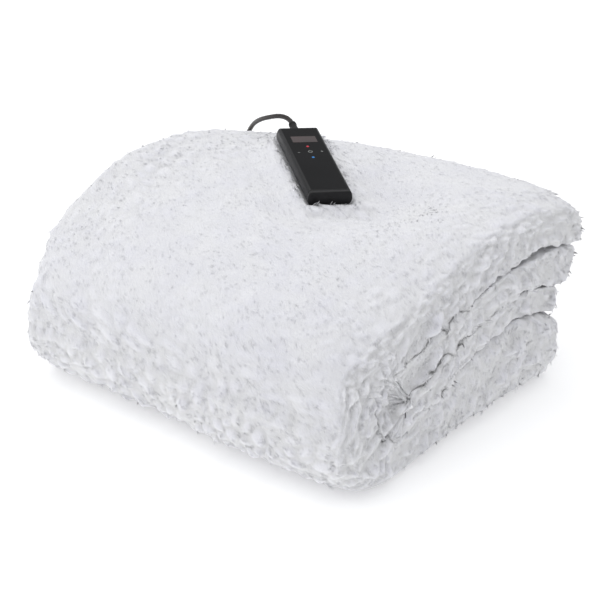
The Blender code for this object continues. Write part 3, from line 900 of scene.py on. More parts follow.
def pile_tree(name):
    """Geometry Nodes: locks of pile set over a surface by its own fields."""
    tree = bpy.data.node_groups.new(name, "GeometryNodeTree")
    for label, kind in (("Geometry", "Geometry"), ("Locks", "Collection"),
                        ("Density", "Float"), ("Length", "Float"), ("Width", "Float"),
                        ("Spread", "Float"), ("Lift", "Float"), ("Softness", "Float"),
                        ("Zone", "Int"), ("Seed", "Int"), ("Material", "Material")):
        add_socket(tree, label, kind)
    add_socket(tree, "Geometry", "Geometry", "OUTPUT")
    given = new_node(tree, "NodeGroupInput", (-1400, 0)).outputs

    def field(place, label, kind="FLOAT"):
        return new_node(tree, "GeometryNodeInputNamedAttribute", place, {"Name": label},
                        data_type=kind).outputs["Attribute"]

    def product(place, a, b):
        return new_node(tree, "ShaderNodeMath", place, {0: a, 1: b},
                        operation="MULTIPLY").outputs[0]

    def chance(place, kind, low, high, seed=0):
        first = {"FLOAT_VECTOR": 0, "FLOAT": 2, "INT": 4}[kind]
        return new_node(tree, "FunctionNodeRandomValue", place,
                        {first: low, first + 1: high, "Seed": seed},
                        data_type=kind).outputs[first // 2]

    # Where the locks stand.
    here = new_node(tree, "FunctionNodeCompare", (-950, 250), {
        2: field((-1150, 250), "zone", "INT"), 3: given["Zone"]},
        data_type="INT", operation="EQUAL").outputs[0]
    dense = product((-950, -150), field((-1150, -200), "cover"), given["Density"])
    points = new_node(tree, "GeometryNodeDistributePointsOnFaces", (-750, 100), {
        "Mesh": given["Geometry"], "Selection": here, "Density": dense,
        "Seed": given["Seed"]}, distribute_method="RANDOM").outputs

    # Which way they lie, and how far they lift.
    stray = chance((-750, -500), "FLOAT_VECTOR", (-1.0, -1.0, -1.0), (1.0, 1.0, 1.0),
                   given["Seed"])
    scaled = new_node(tree, "ShaderNodeVectorMath", (-550, -500), {
        0: stray, "Scale": given["Spread"]}, operation="SCALE")
    lean = new_node(tree, "ShaderNodeVectorMath", (-350, -350), {
        0: field((-750, -300), "comb", "FLOAT_VECTOR"), 1: scaled.outputs[0]},
        operation="ADD")
    turned = new_node(tree, "FunctionNodeAxesToRotation", (-100, -200), {
        "Primary Axis": points["Normal"], "Secondary Axis": lean.outputs[0]},
        primary_axis="Z", secondary_axis="X")
    low = product((-750, -750), given["Lift"], -1.0)
    risen = product((-450, -850), chance((-550, -750), "FLOAT", low, 0.10, given["Seed"]),
                    field((-550, -950), "rise"))
    pitch = new_node(tree, "ShaderNodeCombineXYZ", (-350, -700), {"Y": risen})
    euler = new_node(tree, "FunctionNodeEulerToRotation", (-150, -650),
                     {0: pitch.outputs[0]})
    lifted = new_node(tree, "FunctionNodeRotateRotation", (100, -250), {
        "Rotation": turned.outputs[0], "Rotate By": euler.outputs[0]},
        rotation_space="LOCAL")

    # How large they are.
    size = product((-150, 450), field((-350, 500), "size"),
                   chance((-350, 350), "FLOAT", 0.65, 1.35))
    wide = product((50, 300), size, given["Width"])
    scale = new_node(tree, "ShaderNodeCombineXYZ", (250, 350), {
        "X": product((50, 450), size, given["Length"]), "Y": wide, "Z": wide})

    # The locks themselves, shaded partly with the cloth under them.
    locks = new_node(tree, "GeometryNodeCollectionInfo", (100, 150), {
        "Separate Children": True, "Reset Children": True, "Collection": given["Locks"]})
    rooted = new_node(tree, "GeometryNodeStoreNamedAttribute", (300, 100), {
        "Name": "root_normal", "Geometry": points["Points"], "Value": points["Normal"]},
        data_type="FLOAT_VECTOR", domain="POINT")
    grown = new_node(tree, "GeometryNodeInstanceOnPoints", (500, 100), {
        "Points": rooted.outputs["Geometry"], "Instance": locks.outputs[0],
        "Pick Instance": True,
        "Instance Index": chance((100, 0), "INT", 0, 2, given["Seed"]),
        "Rotation": lifted.outputs[0], "Scale": scale.outputs[0]})
    real = new_node(tree, "GeometryNodeRealizeInstances", (700, 100),
                    {"Geometry": grown.outputs["Instances"]})
    soft = new_node(tree, "GeometryNodeSetShadeSmooth", (900, 100),
                    {"Geometry": real.outputs[0]})
    own = new_node(tree, "GeometryNodeInputNormal", (700, -100))
    blend = new_node(tree, "ShaderNodeMix", (900, -150), {
        0: given["Softness"], 4: own.outputs[0],
        5: field((700, -250), "root_normal", "FLOAT_VECTOR")}, data_type="VECTOR")
    shaded = new_node(tree, "GeometryNodeSetMeshNormal", (1000, 100), mode="FREE",
                      domain="POINT")
    tree.links.new(soft.outputs[0], shaded.inputs[0])
    tree.links.new(blend.outputs[1], shaded.inputs["Custom Normal"])
    finish = new_node(tree, "GeometryNodeSetMaterial", (1200, 100), {
        "Geometry": shaded.outputs[0], "Material": given["Material"]})
    new_node(tree, "NodeGroupOutput", (1400, 0), {"Geometry": finish.outputs["Geometry"]})
    return tree


def run_tree(base, tree, name, values):
    """New plain mesh object from the tree run on base, which keeps its own mesh."""
    modifier = base.modifiers.new(name, "NODES")
    modifier.node_group = tree
    for item in tree.interface.items_tree:
        if item.in_out == "INPUT" and item.name in values:
            modifier[item.identifier] = values[item.name]
    bpy.context.view_layer.update()
    graph = bpy.context.evaluated_depsgraph_get()
    mesh = bpy.data.meshes.new_from_object(base.evaluated_get(graph))
    mesh.name = name
    base.modifiers.remove(modifier)
    obj = bpy.data.objects.new(name, mesh)
    bpy.context.collection.objects.link(obj)
    return obj


# ---------------------------------------------------------------- controller
def in_case(points):
    """Points of the case's frame in space."""
    return [tuple(CASE_FRAME @ Vector(p)) for p in points]


def case_rows():
    """Half outline of the case across, rounded finely, from the top face down."""
    corners = [Vector((x, -z)) for x, z in CASE_PROFILE]
    rows = [Vector((corners[0].x - 0.0012, 0.0))]
    for k in range(len(corners) - 1):
        before = corners[max(k - 1, 0)]
        a, b = corners[k:k + 2]
        after = corners[min(k + 2, len(corners) - 1)]
        rows += [curve_point(before, a, b, after, n / 4) for n in range(4)]
    rows.append(corners[-1])
    rows[1] = Vector((rows[1].x - 0.0002, -0.0003))
    return rows


def case_shell(name, start, end, round_start, round_end, mat):
    """Length of the case with its ends rounded off."""
    half = case_rows()
    outline = [(p.x, p.y) for p in half] + [(-p.x, p.y) for p in reversed(half)]
    middle = -0.5 * CASE_DEPTH
    rings = []
    steps = 5
    stations = [(start + round_start * (1.0 - math.cos(0.5 * math.pi * k / steps)),
                 round_start * (1.0 - math.sin(0.5 * math.pi * k / steps)))
                for k in range(steps + 1)]
    stations += [(end - round_end * (1.0 - math.cos(0.5 * math.pi * k / steps)),
                  round_end * (1.0 - math.sin(0.5 * math.pi * k / steps)))
                 for k in range(steps, -1, -1)]
    for y, inset in stations:
        shrink_x = 1.0 - inset / CASE_PROFILE[2][0]
        shrink_z = 1.0 - inset / (0.5 * CASE_DEPTH)
        rings.append([(x * shrink_x, y, middle + (z - middle) * shrink_z) for x, z in outline])
    verts, faces = bridged(rings)
    obj = add_mesh(name, in_case(verts), faces, mat)
    obj.data.set_sharp_from_angle(angle=math.radians(40.0))
    return obj


def plate_outline(half_x, half_y, centre_y, radius, steps=5):
    """Rounded rectangle in the case's face, as (x, y) points."""
    points = []
    for quarter, (sx, sy) in enumerate(((1, 1), (-1, 1), (-1, -1), (1, -1))):
        for k in range(steps + 1):
            turn = 0.5 * math.pi * (quarter + k / steps)
            points.append((sx * (half_x - radius) + radius * math.cos(turn),
                           centre_y + sy * (half_y - radius) + radius * math.sin(turn)))
    return points


def face_plate(name, outline, bottom, top, ease, mat):
    """Thin plate let into the case's face, its top edge eased."""
    cx = sum(p[0] for p in outline) / len(outline)
    cy = sum(p[1] for p in outline) / len(outline)
    rings = []
    for z, inset in ((bottom, 0.0), (top - ease, 0.0), (top - 0.3 * ease, 0.3 * ease),
                     (top, ease)):
        ring = []
        for x, y in outline:
            away = math.hypot(x - cx, y - cy)
            share = 1.0 - inset / max(away, 1e-6)
            ring.append((cx + (x - cx) * share, cy + (y - cy) * share, z))
        rings.append(ring)
    verts, faces = bridged(rings)
    obj = add_mesh(name, in_case(verts), faces, mat, smooth=False)
    return obj


def joined(name, pieces):
    """One object from several."""
    bpy.ops.object.select_all(action="DESELECT")
    for piece in pieces:
        piece.select_set(True)
    bpy.context.view_layer.objects.active = pieces[0]
    bpy.ops.object.join()
    pieces[0].name = name
    pieces[0].data.name = name
    return pieces[0]


def bar_outline(cx, cy, half_x, half_y):
    """Small rectangle for a printed stroke."""
    return [(cx - half_x, cy - half_y), (cx + half_x, cy - half_y),
            (cx + half_x, cy + half_y), (cx - half_x, cy + half_y)]


def arc_stroke(name, cx, cy, radius, width, start, end, bottom, top, mat):
    """Printed arc of a ring in the case's face."""
    steps = 20
    rings = []
    for k in range(steps + 1):
        turn = math.radians(mix(start, end, k / steps))
        ring = []
        for r, z in ((radius - width, bottom), (radius + width, bottom),
                     (radius + width, top), (radius - width, top)):
            ring.append((cx + r * math.cos(turn), cy + r * math.sin(turn), z))
        rings.append(ring)
    verts, faces = bridged(rings)
    return add_mesh(name, in_case(verts), faces, mat, smooth=False)


def keep(obj, slot, *nodes):
    """Ride on the root and stand for nodes; slot is not used."""
    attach(obj, "root")
    if nodes:
        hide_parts(*nodes)
    return obj


# ---------------------------------------------------------------- lead
def coil_points():
    """The wound turns, layer on layer, from the bottom outside to the top outside."""
    columns = [COIL_MIDDLE + (c - 0.5 * (COIL_COLUMNS - 1)) * LEAD_DIAMETER
               for c in range(COIL_COLUMNS)]
    slots = []
    for layer in range(COIL_LAYERS):
        order = columns[::-1] if layer % 2 == 0 else columns
        height = JOINT_GAP + (0.5 + layer) * LEAD_DIAMETER
        slots += [(radius, height) for radius in order]
    steps = 30
    leave = math.radians(95.0)
    count = int(steps * (len(slots) - 1 + leave / (2.0 * math.pi)))
    points = []
    for k in range(count + 1):
        turns = k / steps
        slot = min(int(turns), len(slots) - 1)
        part = turns - slot
        radius, height = slots[slot]
        if slot + 1 < len(slots):
            ease = float(smooth_step((part - 0.78) / 0.22))
            radius = mix(radius, slots[slot + 1][0], ease)
            height = mix(height, slots[slot + 1][1], ease)
        turn = 2.0 * math.pi * turns
        points.append((COIL_CENTRE[0] + radius * math.cos(turn),
                       COIL_CENTRE[1] + radius * math.sin(turn), height))
    return points


def lead_points():
    """Centre line of the whole lead: its route, its coil and its tail."""
    coil = coil_points()
    route = placed_smooth(ROUTE, 0.008)
    tail = placed_smooth(TAIL, 0.008)
    join_in = placed_smooth([route[-3], route[-1], coil[2], coil[4]], 0.006)[1:-1]
    join_out = placed_smooth([coil[-5], coil[-3], tail[0], tail[1]], 0.006)[1:-1]
    return route[:-3] + join_in + coil[4:-5] + join_out + tail[1:]


def lathe_along(name, rows, sides, start, ahead, mat):
    """Round piece turned about a line: rows of (distance, radius)."""
    ahead = Vector(ahead).normalized()
    across = ahead.cross(Vector((0.0, 0.0, 1.0))).normalized()
    up = across.cross(ahead)
    rings = []
    for d, r in rows:
        ring = []
        for k in range(sides):
            turn = 2.0 * math.pi * k / sides
            ring.append(tuple(Vector(start) + ahead * d
                              + (across * math.cos(turn) + up * math.sin(turn)) * r))
        rings.append(ring)
    verts, faces = bridged(rings)
    return add_mesh(name, verts, faces, mat)


# ---------------------------------------------------------------- settings
class WarmerFleeceSettings(bpy.types.PropertyGroup):
    """Sizes and colours of the fleece."""
    pile_in: FloatProperty(name="Pile Depth", description="How far the cloth lies under the "
                           "tips of its pile", default=0.0015, min=0.001, max=0.01,
                           unit="LENGTH", precision=4)
    lump_size: FloatProperty(name="Lump Size", description="Width of one lump of pile",
                             default=0.019, min=0.005, max=0.05, unit="LENGTH", precision=4)
    lump_height: FloatProperty(name="Lump Height", description="How far a lump stands out",
                               default=0.0085, min=0.0, max=0.02, unit="LENGTH", precision=4)
    overhang: FloatProperty(name="Lump Overhang", description="How far a lump hangs over the "
                            "next one", default=0.0055, min=0.0, max=0.02, unit="LENGTH",
                            precision=4)
    lock_length: FloatProperty(name="Lock Length", description="Length of one lock of pile",
                               default=0.0060, min=0.003, max=0.03, unit="LENGTH", precision=4)
    lock_width: FloatProperty(name="Lock Width", description="Width of one lock of pile",
                              default=0.0011, min=0.0005, max=0.01, unit="LENGTH", precision=4)
    spread: FloatProperty(name="Stray", description="How far single locks stray from the "
                          "way the pile lies", default=0.35, min=0.0, max=2.0)
    lift: FloatProperty(name="Lift", description="How far single locks may lift",
                        default=0.40, min=0.0, max=1.5, unit="ROTATION")
    softness: FloatProperty(name="Softness", description="How evenly the locks are shaded with "
                            "the cloth under them", default=0.50, min=0.0, max=1.0)
    density: FloatProperty(name="Locks per Square Metre", description="How closely the locks "
                           "grow", default=40000.0, min=1000.0, max=300000.0)
    seed: IntProperty(name="Seed", description="Start of the pile's random values",
                      default=3, min=1)
    light: FloatVectorProperty(name="Pile Colour", description="Colour of the pile in light "
                               "patches", subtype="COLOR", default=(0.735, 0.735, 0.76))
    dark: FloatVectorProperty(name="Patch Colour", description="Colour of the pile in cool "
                              "patches", subtype="COLOR", default=(0.70, 0.70, 0.74))
    # Painted shade: the colour the pile takes at its roots and in the creases between its lumps.
    gap: FloatVectorProperty(name="Root Colour", description="Colour at the roots of the pile",
                             subtype="COLOR", default=(0.68, 0.68, 0.675))


class WarmerControllerSettings(bpy.types.PropertyGroup):
    """Colours of the controller."""
    shell: FloatVectorProperty(name="Shell Colour", description="Colour of the case's plastic",
                               subtype="COLOR", default=(0.0045, 0.0045, 0.005))
    window: FloatVectorProperty(name="Window Colour", description="Colour of the display",
                                subtype="COLOR", default=(0.045, 0.036, 0.036))
    mark: FloatVectorProperty(name="Mark Colour", description="Colour of the printed marks",
                              subtype="COLOR", default=(0.28, 0.29, 0.28))
    heat: FloatVectorProperty(name="Heat Light Colour", description="Colour of the heat light",
                              subtype="COLOR", default=(0.42, 0.010, 0.03))
    power: FloatVectorProperty(name="Power Light Colour", description="Colour of the power "
                               "light", subtype="COLOR", default=(0.02, 0.16, 0.42))


class WarmerLeadSettings(bpy.types.PropertyGroup):
    """Colour and size of the mains lead."""
    sheath: FloatVectorProperty(name="Sheath Colour", description="Colour of the lead",
                                subtype="COLOR", default=(0.010, 0.0065, 0.0055))
    diameter: FloatProperty(name="Lead Diameter", description="Thickness of the lead",
                            default=LEAD_DIAMETER, unit="LENGTH", precision=4)


class WarmerStageSettings(bpy.types.PropertyGroup):
    """Light, floor and camera."""
    surround: FloatProperty(name="Surround Light", description="Strength of the even light",
                            default=0.66, min=0.0, max=5.0)
    key: FloatProperty(name="Key Light", description="Power of the large light overhead",
                       default=34.0, min=0.0, subtype="POWER")
    fill: FloatProperty(name="Fill Light", description="Power of the light on the left",
                        default=7.0, min=0.0, subtype="POWER")
    lens: FloatProperty(name="Lens", description="Focal length in millimetres",
                        default=94.74, min=10.0)


# ---------------------------------------------------------------- operators
class WARMER_OT_stage(bpy.types.Operator):
    """Set up the camera, the floor and soft studio light"""
    bl_idname = "warmer.stage"
    bl_label = "Stage"

    def execute(self, context):
        """Make the stage."""
        settings = context.scene.warmer_stage
        scene = context.scene
        azimuth = math.radians(VIEW_AZIMUTH)
        rise = math.radians(VIEW_RISE)
        back = Vector((math.sin(azimuth) * math.cos(rise),
                       -math.cos(azimuth) * math.cos(rise), math.sin(rise)))
        camera = bpy.data.objects.new("camera", bpy.data.cameras.new("camera"))
        scene.collection.objects.link(camera)
        camera.location = Vector(VIEW_TARGET) + back * VIEW_DISTANCE
        camera.rotation_euler = (-back).to_track_quat("-Z", "Y").to_euler()
        camera.data.lens = settings.lens
        camera.data.sensor_width = 36.0
        camera.data.shift_x, camera.data.shift_y = VIEW_SHIFT
        scene.camera = camera

        mat = toned_material("floor_white", (0.95, 0.95, 0.95), 0.7,
                             ((0.955, 0.955, 0.955), (0.945, 0.945, 0.945), 3.0, 900.0, 0.02),
                             Specular_IOR_Level=0.2, Emission_Color=(1.0, 1.0, 1.0, 1.0),
                             Emission_Strength=0.22)
        corners = [(x * FLOOR_HALF, y * FLOOR_HALF, 0)
                   for x, y in ((-1, -1), (1, -1), (1, 1), (-1, 1))]
        floor = add_mesh("floor", corners, [(0, 1, 2, 3)], mat, smooth=False)

        world = bpy.data.worlds.new("studio")
        world.use_nodes = True
        sky = world.node_tree.nodes["Background"].inputs
        sky["Color"].default_value = (0.97, 0.98, 1.0, 1.0)
        sky["Strength"].default_value = settings.surround
        scene.world = world
        self.add_light("key", (-0.25, 0.40, 2.2), 3.5, settings.key, (0.0, 0.0, 0.10))
        self.add_light("fill", (-2.2, 0.3, 1.2), 2.5, settings.fill, (0.0, 0.0, 0.08))
        scene.view_settings.view_transform = "Standard"
        scene.view_settings.look = "None"
        return {"FINISHED"}

    def add_light(self, name, place, size, power, at):
        """Square area light that faces a point."""
        data = bpy.data.lights.new(name, "AREA")
        data.size = size
        data.energy = power
        light = bpy.data.objects.new(name, data)
        bpy.context.scene.collection.objects.link(light)
        light.location = place
        aim = Vector(at) - Vector(place)
        light.rotation_euler = aim.to_track_quat("-Z", "Y").to_euler()


class WARMER_OT_lead(bpy.types.Operator):
    """Build the mains lead with its strain relief and plug"""
    bl_idname = "warmer.lead"
    bl_label = "Mains Lead"

    def execute(self, context):
        """Make the lead."""
        settings = context.scene.warmer_lead
        colour = tuple(settings.sheath)
        lighter = tuple(1.8 * c for c in colour)
        mat = toned_material("lead_sheath", colour, 0.30,
                             (lighter, colour, 60.0, 1500.0, 0.15), Specular_IOR_Level=0.35)
        path = lead_points()
        curve = bpy.data.curves.new("mains_lead", "CURVE")
        curve.dimensions = "3D"
        curve.bevel_depth = 0.5 * settings.diameter
        curve.bevel_resolution = 3
        curve.use_fill_caps = True
        spline = curve.splines.new("POLY")
        spline.points.add(len(path) - 1)
        for point, place in zip(spline.points, path):
            point.co = (*place, 1.0)
        spline.use_smooth = True
        curve.materials.append(mat)
        lead = bpy.data.objects.new("mains_lead", curve)
        context.collection.objects.link(lead)
        keep(lead, "lead_rubber", "lead", "lead_coil", "lead_tail")

        sleeve = self.add_relief()
        plug = self.add_plug()
        blades = self.add_blades()
        return {"FINISHED"}

    def add_relief(self):
        """Tapered strain relief with a collar at its tip."""
        mat = toned_material("relief_rubber", (0.006, 0.006, 0.006), 0.5,
                             ((0.014, 0.013, 0.013), (0.008, 0.008, 0.008), 90.0, 2000.0, 0.3),
                             Specular_IOR_Level=0.2)
        fine = placed_smooth([(d, r, 0.0) for d, r in RELIEF_PROFILE], 0.0012)
        rows = [(RELIEF_PROFILE[0][0], 0.0048)] + [(p[0], p[1]) for p in fine[1:]]
        rows += [(RELIEF_PROFILE[-1][0] + 0.0003, 0.0036)]
        start = CASE_FRAME @ Vector((0.0, 0.5 * CASE_LENGTH, -0.5 * CASE_DEPTH))
        ahead = CASE_FRAME.to_3x3() @ Vector((0.0, 1.0, 0.0))
        sleeve = lathe_along("relief_sleeve", rows, 28, start, ahead, mat)
        return keep(sleeve, "relief_rubber", "strain_relief")

    def plug_frame(self):
        """Frame of the plug: X ahead to its blades, Z up."""
        turn = math.radians(PLUG_YAW)
        place = Vector(TAIL[-1])
        ahead = Vector((math.cos(turn), math.sin(turn), 0.0))
        across = Vector((-math.sin(turn), math.cos(turn), 0.0))
        return place + JOINT_GAP * ahead, ahead, across

    def add_plug(self):
        """Moulded plug body with a waist and grip ribs."""
        mat = toned_material("plug_plastic", (0.012, 0.012, 0.013), 0.42,
                             ((0.016, 0.016, 0.017), (0.010, 0.010, 0.011), 70.0, 1800.0, 0.3))
        place, ahead, across = self.plug_frame()
        fine = placed_smooth(PLUG_PROFILE, 0.0011)
        rings = []
        for k, (d, half_w, half_h) in enumerate(fine):
            rib = 0.0004 * math.sin(2.0 * math.pi * d / 0.0033) if 0.019 < d < 0.031 else 0.0
            ease = 0.0009 if k in (0, len(fine) - 1) else 0.0
            ring = []
            for n in range(32):
                turn = 2.0 * math.pi * n / 32
                c = math.copysign(abs(math.cos(turn)) ** 0.6, math.cos(turn))
                s = math.copysign(abs(math.sin(turn)) ** 0.6, math.sin(turn))
                side = (half_w - ease + rib * abs(c)) * c
                high = (half_h - ease) * s
                ring.append(tuple(place + ahead * d + across * side
                                  + Vector((0.0, 0.0, high))))
            rings.append(ring)
        verts, faces = bridged(rings)
        plug = add_mesh("plug_moulding", verts, faces, mat)
        return keep(plug, "plug_plastic", "plug_body")

    def add_blades(self):
        """Two flat blades with rounded ends and a hole each."""
        mat = toned_material("blade_brass", (0.72, 0.60, 0.36), 0.28,
                             ((0.76, 0.64, 0.40), (0.66, 0.54, 0.31), 120.0, 2500.0, 0.2),
                             Metallic=1.0)
        place, ahead, across = self.plug_frame()
        pieces = []
        for side in (-1, 1):
            outline = []
            for x, z in ((0.0, -0.0032), (0.0125, -0.0032), (0.0152, -0.0020), (0.0160, 0.0),
                         (0.0152, 0.0020), (0.0125, 0.0032), (0.0, 0.0032)):
                outline.append((PLUG_PROFILE[-1][0] + JOINT_GAP + x, z))
            rings = []
            for t in (-0.00075, 0.00075):
                rings.append([tuple(place + ahead * x + across * (side * 0.00635 + t)
                                    + Vector((0.0, 0.0, z))) for x, z in outline])
            verts, faces = bridged(rings)
            blade = add_mesh("blade", verts, faces, mat, smooth=False)
            drill = lathe_along("drill", ((-0.003, 0.0014), (0.003, 0.0014)), 20,
                                place + ahead * (PLUG_PROFILE[-1][0] + 0.0120)
                                + across * side * 0.00635, across, None)
            cut = blade.modifiers.new("hole", "BOOLEAN")
            cut.solver = "EXACT"
            cut.operation = "DIFFERENCE"
            cut.object = drill
            bpy.context.view_layer.update()
            graph = bpy.context.evaluated_depsgraph_get()
            blade.data = bpy.data.meshes.new_from_object(blade.evaluated_get(graph))
            blade.modifiers.clear()
            bpy.data.objects.remove(drill, do_unlink=True)
            pieces.append(blade)
        return keep(joined("plug_blades", pieces), "blade_brass",
                    "plug_blade_left", "plug_blade_right")


class WARMER_OT_controller(bpy.types.Operator):
    """Build the hand controller on the fleece"""
    bl_idname = "warmer.controller"
    bl_label = "Controller"

    def execute(self, context):
        """Make the controller's pieces."""
        settings = context.scene.warmer_controller
        half = 0.5 * CASE_LENGTH
        shell = tuple(settings.shell)
        mat = toned_material("case_plastic", shell, 0.34,
                             (tuple(1.5 * c for c in shell), shell, 40.0, 2600.0, 0.35),
                             Specular_IOR_Level=0.28)
        case = case_shell("controller_shell", -half, half, 0.0004, 0.0016, mat)
        keep(case, "case_plastic", "controller_case")
        cap = case_shell("controller_cap", -half - JOINT_GAP - CAP_LENGTH, -half - JOINT_GAP,
                         0.0016, 0.0004, mat)
        keep(cap, "case_plastic", "controller_end_cap")

        face = toned_material("face_film", shell, 0.30,
                              (tuple(1.3 * c for c in shell), shell, 30.0, 900.0, 0.05),
                              Specular_IOR_Level=0.08)
        film = face_plate("face_film", plate_outline(0.0203, half - 0.0016, 0.0, 0.0014),
                          -0.0004, 0.00012, 0.00010, face)
        keep(film, "case_plastic")

        glass, tree, shader = plain_material("window_plastic", settings.window, 0.12)
        self.add_display(tree, shader, tuple(settings.window))
        window = face_plate("display_glass", plate_outline(0.01425, 0.0070, 0.0430, 0.0006),
                            -0.0003, 0.00026, 0.00010, glass)
        keep(window, "window_plastic", "display_window")
        self.add_lens("heat_lens", "heat_light", 0.0260, tuple(settings.heat))
        self.add_lens("power_lens", "power_light", 0.0006, tuple(settings.power))
        self.add_marks(tuple(settings.mark))
        return {"FINISHED"}

    def add_display(self, tree, shader, colour):
        """Two soft bands across the display, as an unlit screen shows."""
        wave = new_node(tree, "ShaderNodeTexNoise", (-650, 0), {
            "Scale": 55.0, "Detail": 1.0, "Vector": object_place(tree, (-900, 0))})
        blend = new_node(tree, "ShaderNodeMix", (-350, 0), {
            "A": (*[0.75 * c for c in colour], 1.0),
            "B": (1.5 * colour[0], 1.1 * colour[1], 1.1 * colour[2], 1.0),
            "Factor": wave.outputs["Fac"]}, data_type="RGBA")
        tree.links.new(blend.outputs["Result"], shader.inputs["Base Color"])

    def add_lens(self, name, node, y, colour):
        """Small domed lens of a light."""
        mat, tree, shader = plain_material(node, colour, 0.15, Emission_Color=(*colour, 1.0),
                                           Emission_Strength=0.35)
        grain = new_node(tree, "ShaderNodeTexNoise", (-600, 0), {
            "Scale": 900.0, "Vector": object_place(tree, (-850, 0))})
        relief = new_node(tree, "ShaderNodeBump", (-300, -200), {
            "Strength": 0.1, "Distance": 0.0002, "Height": grain.outputs["Fac"]})
        tree.links.new(relief.outputs["Normal"], shader.inputs["Normal"])
        rings = []
        for r, z in ((0.0016, -0.0003), (0.0016, 0.0002), (0.0013, 0.0004), (0.0008, 0.00052),
                     (0.0003, 0.00056)):
            rings.append([(r * math.cos(2.0 * math.pi * k / 20),
                           y + r * math.sin(2.0 * math.pi * k / 20), z) for k in range(20)])
        verts, faces = bridged(rings)
        lens = add_mesh(name, in_case(verts), faces, mat)
        keep(lens, node, node)

    def add_marks(self, colour):
        """Printed minus, plus and power marks."""
        mat = toned_material("mark_print", colour, 0.5, (
            colour, tuple(0.8 * c for c in colour), 200.0, 3000.0, 0.2))
        low = -0.0002
        high = 0.00020
        ease = 0.00003
        pieces = [
            face_plate("minus", bar_outline(-0.0133, 0.0125, 0.0013, 0.00035), low, high, ease,
                       mat),
            face_plate("plus_bar", bar_outline(0.0134, 0.0137, 0.0014, 0.0004), low, high, ease,
                       mat),
            face_plate("plus_stem", bar_outline(0.0134, 0.0137, 0.0004, 0.0014), low,
                       high + 0.00002, ease, mat),
            arc_stroke("power_ring", 0.0, 0.0139, 0.0022, 0.00035, 120.0, 420.0, low, high, mat),
            face_plate("power_stem", bar_outline(0.0, 0.0158, 0.00035, 0.0014), low,
                       high + 0.00002, ease, mat),
        ]
        keep(joined("touch_marks", pieces), "case_plastic")


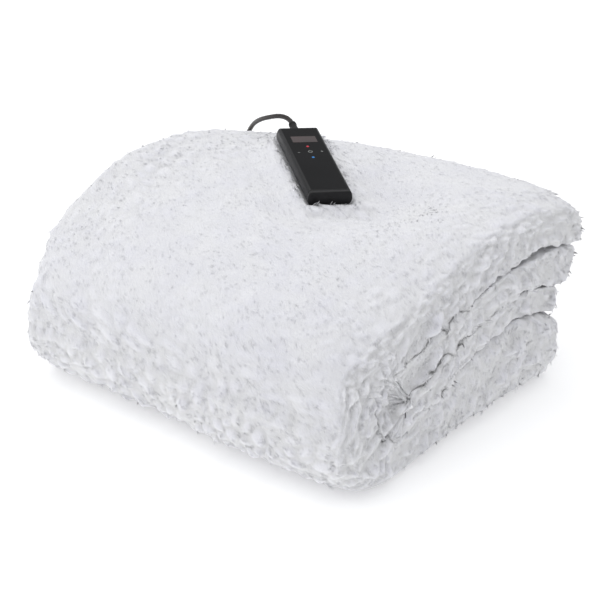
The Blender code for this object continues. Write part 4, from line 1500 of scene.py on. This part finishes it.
class WARMER_OT_fleece(bpy.types.Operator):
    """Build the folded fleece and grow its pile"""
    bl_idname = "warmer.fleece"
    bl_label = "Folded Fleece"

    def execute(self, context):
        """Make the cloth, then its pile zone by zone."""
        settings = context.scene.warmer_fleece
        noise.seed_set(settings.seed)
        colours = (tuple(settings.light), tuple(settings.dark), tuple(settings.gap))
        mat = fleece_material("fleece_white", *colours, 1.0)
        fine = fleece_material("fleece_locks", *colours, 0.0)
        rings, shown, (near, far) = fleece_points(settings.pile_in)
        count = rings.shape[1]
        faces = fleece_faces(len(rings), count, near, far)
        pad = add_mesh("folded_fleece", rings.reshape(-1, 3), faces, mat)
        shown = shown.ravel()
        places, normals = self.read(pad)
        under = places[:, 2].min()
        places[:, 2] -= (under - FLOOR_CLEAR) * (1.0 - smooth_step(places[:, 2] / 0.03))
        clear = openness(pad, places, normals, shown)
        move, comb, size, rough, tone = lump_field(places, normals, shown, clear,
                                                   settings)
        away = case_place(places)[1]
        free = smooth_step(away / 0.010) * smooth_step((places[:, 2] - 0.002) / 0.012)
        move = soften(move.reshape(len(rings), count, 3)).reshape(-1, 3)
        places += move * free[:, None]
        places[:, 2] = np.maximum(places[:, 2], MOVED_CLEAR)
        self.move_to(pad, places)
        places, normals = self.read(pad)
        on_top = (normals[:, 2] > 0.2) & (places[:, 2] > TOP_FROM_Z)
        comb, size, gap, beside = shrink_near_case(places, comb, size)
        under_case = ((gap < 0.0012) & on_top).astype(float)
        set_values(pad.data, "comb", "FLOAT_VECTOR", comb)
        set_values(pad.data, "size", "FLOAT", size)
        beside *= on_top
        set_values(pad.data, "rise", "FLOAT", np.maximum(0.25 + 0.75 * rough, 1.4 * beside))
        # The lumps' tone, as the tip value, paints shade in the creases between them.
        set_values(pad.data, "tip", "FLOAT", tone)
        cover = pile_cover(places, normals, shown, under_case)
        cover *= 0.45 + 0.55 * smooth_step((clear - 0.10) / 0.30)
        set_values(pad.data, "cover", "FLOAT", cover * (0.35 + 0.25 * rough + 1.0 * beside))
        zones = pad.data.attributes.new("zone", "INT", "FACE")
        zones.data.foreach_set("value", zone_of_faces(pad.data).astype(np.int32))
        piles = self.grow(context, settings, pad, fine)
        for name in ("comb", "size", "rise", "cover", "zone"):
            pad.data.attributes.remove(pad.data.attributes[name])
        for piece in [pad] + piles:
            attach(piece, "root")
        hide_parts("fleece_pad")
        return {"FINISHED"}

    def read(self, obj):
        """Points and point normals as arrays."""
        count = len(obj.data.vertices)
        places = np.empty(count * 3, np.float32)
        normals = np.empty(count * 3, np.float32)
        obj.data.vertices.foreach_get("co", places)
        obj.data.vertex_normals.foreach_get("vector", normals)
        return places.reshape(-1, 3).astype(float), normals.reshape(-1, 3).astype(float)

    def move_to(self, obj, places):
        """Put an object's points at new places."""
        obj.data.vertices.foreach_set("co", places.astype(np.float32).ravel())
        obj.data.update()

    def grow(self, context, settings, pad, fine):
        """Fine locks over everything, zone by zone."""
        locks = [lock_mesh("lock_a", 0.1, 1.0), lock_mesh("lock_b", -0.5, 1.2),
                 lock_mesh("lock_c", 0.6, 0.8)]
        kinds = self.collect(context, "lock_kinds", locks)
        tree = pile_tree("Pile of locks")
        piles = []
        for k, zone in enumerate(ZONES):
            pile = run_tree(pad, tree, "locks_" + zone, {
                "Locks": kinds, "Density": settings.density,
                "Length": settings.lock_length, "Width": settings.lock_width,
                "Spread": settings.spread, "Lift": settings.lift,
                "Softness": settings.softness, "Material": fine,
                "Zone": k, "Seed": settings.seed + k})
            self.drop_extra(pile)
            piles.append(pile)
        for lock in locks:
            bpy.data.objects.remove(lock, do_unlink=True)
        bpy.data.collections.remove(kinds)
        return piles

    def collect(self, context, name, objects):
        """Collection of shapes to pick from."""
        kinds = bpy.data.collections.new(name)
        for obj in objects:
            context.collection.objects.unlink(obj)
            kinds.objects.link(obj)
        return kinds

    def drop_extra(self, pile):
        """Keep only the value that the material reads, and stay off the floor."""
        names = [a.name for a in pile.data.attributes
                 if a.name not in ("position", "tip", "custom_normal", "material_index")
                 and not a.name.startswith(".") and not a.is_required]
        for name in names:
            pile.data.attributes.remove(pile.data.attributes[name])
        places = self.read(pile)[0]
        places[:, 2] = np.maximum(places[:, 2], WISP_CLEAR)
        self.move_to(pile, places)


class WARMER_PT_panel(bpy.types.Panel):
    """Panel that lists the steps of the build"""
    bl_idname = "WARMER_PT_panel"
    bl_label = "Folded Fleece Warmer"
    bl_space_type = "VIEW_3D"
    bl_region_type = "UI"
    bl_category = "Warmer"

    def draw(self, context):
        """List the operators and their settings."""
        for step in STEPS:
            self.layout.operator(step.bl_idname)
        for name in SETTINGS:
            box = self.layout.box()
            group = getattr(context.scene, name)
            for key in group.__annotations__:
                box.prop(group, key)


STEPS = (WARMER_OT_stage, WARMER_OT_lead, WARMER_OT_controller, WARMER_OT_fleece)
SETTINGS = {
    "warmer_fleece": WarmerFleeceSettings,
    "warmer_controller": WarmerControllerSettings,
    "warmer_lead": WarmerLeadSettings,
    "warmer_stage": WarmerStageSettings,
}


def register():
    """Add the classes and the scene's settings."""
    for group in SETTINGS.values():
        bpy.utils.register_class(group)
    for step in STEPS:
        bpy.utils.register_class(step)
    bpy.utils.register_class(WARMER_PT_panel)
    for name, group in SETTINGS.items():
        setattr(bpy.types.Scene, name, PointerProperty(type=group))


def unregister():
    """Take the classes and settings away again."""
    for name in SETTINGS:
        delattr(bpy.types.Scene, name)
    bpy.utils.unregister_class(WARMER_PT_panel)
    for step in reversed(STEPS):
        bpy.utils.unregister_class(step)
    for group in SETTINGS.values():
        bpy.utils.unregister_class(group)


def main():
    """Build every piece."""
    register()
    bpy.ops.warmer.stage()
    bpy.ops.warmer.lead()
    bpy.ops.warmer.controller()
    bpy.ops.warmer.fleece()


if __name__ == "__main__":
    main()
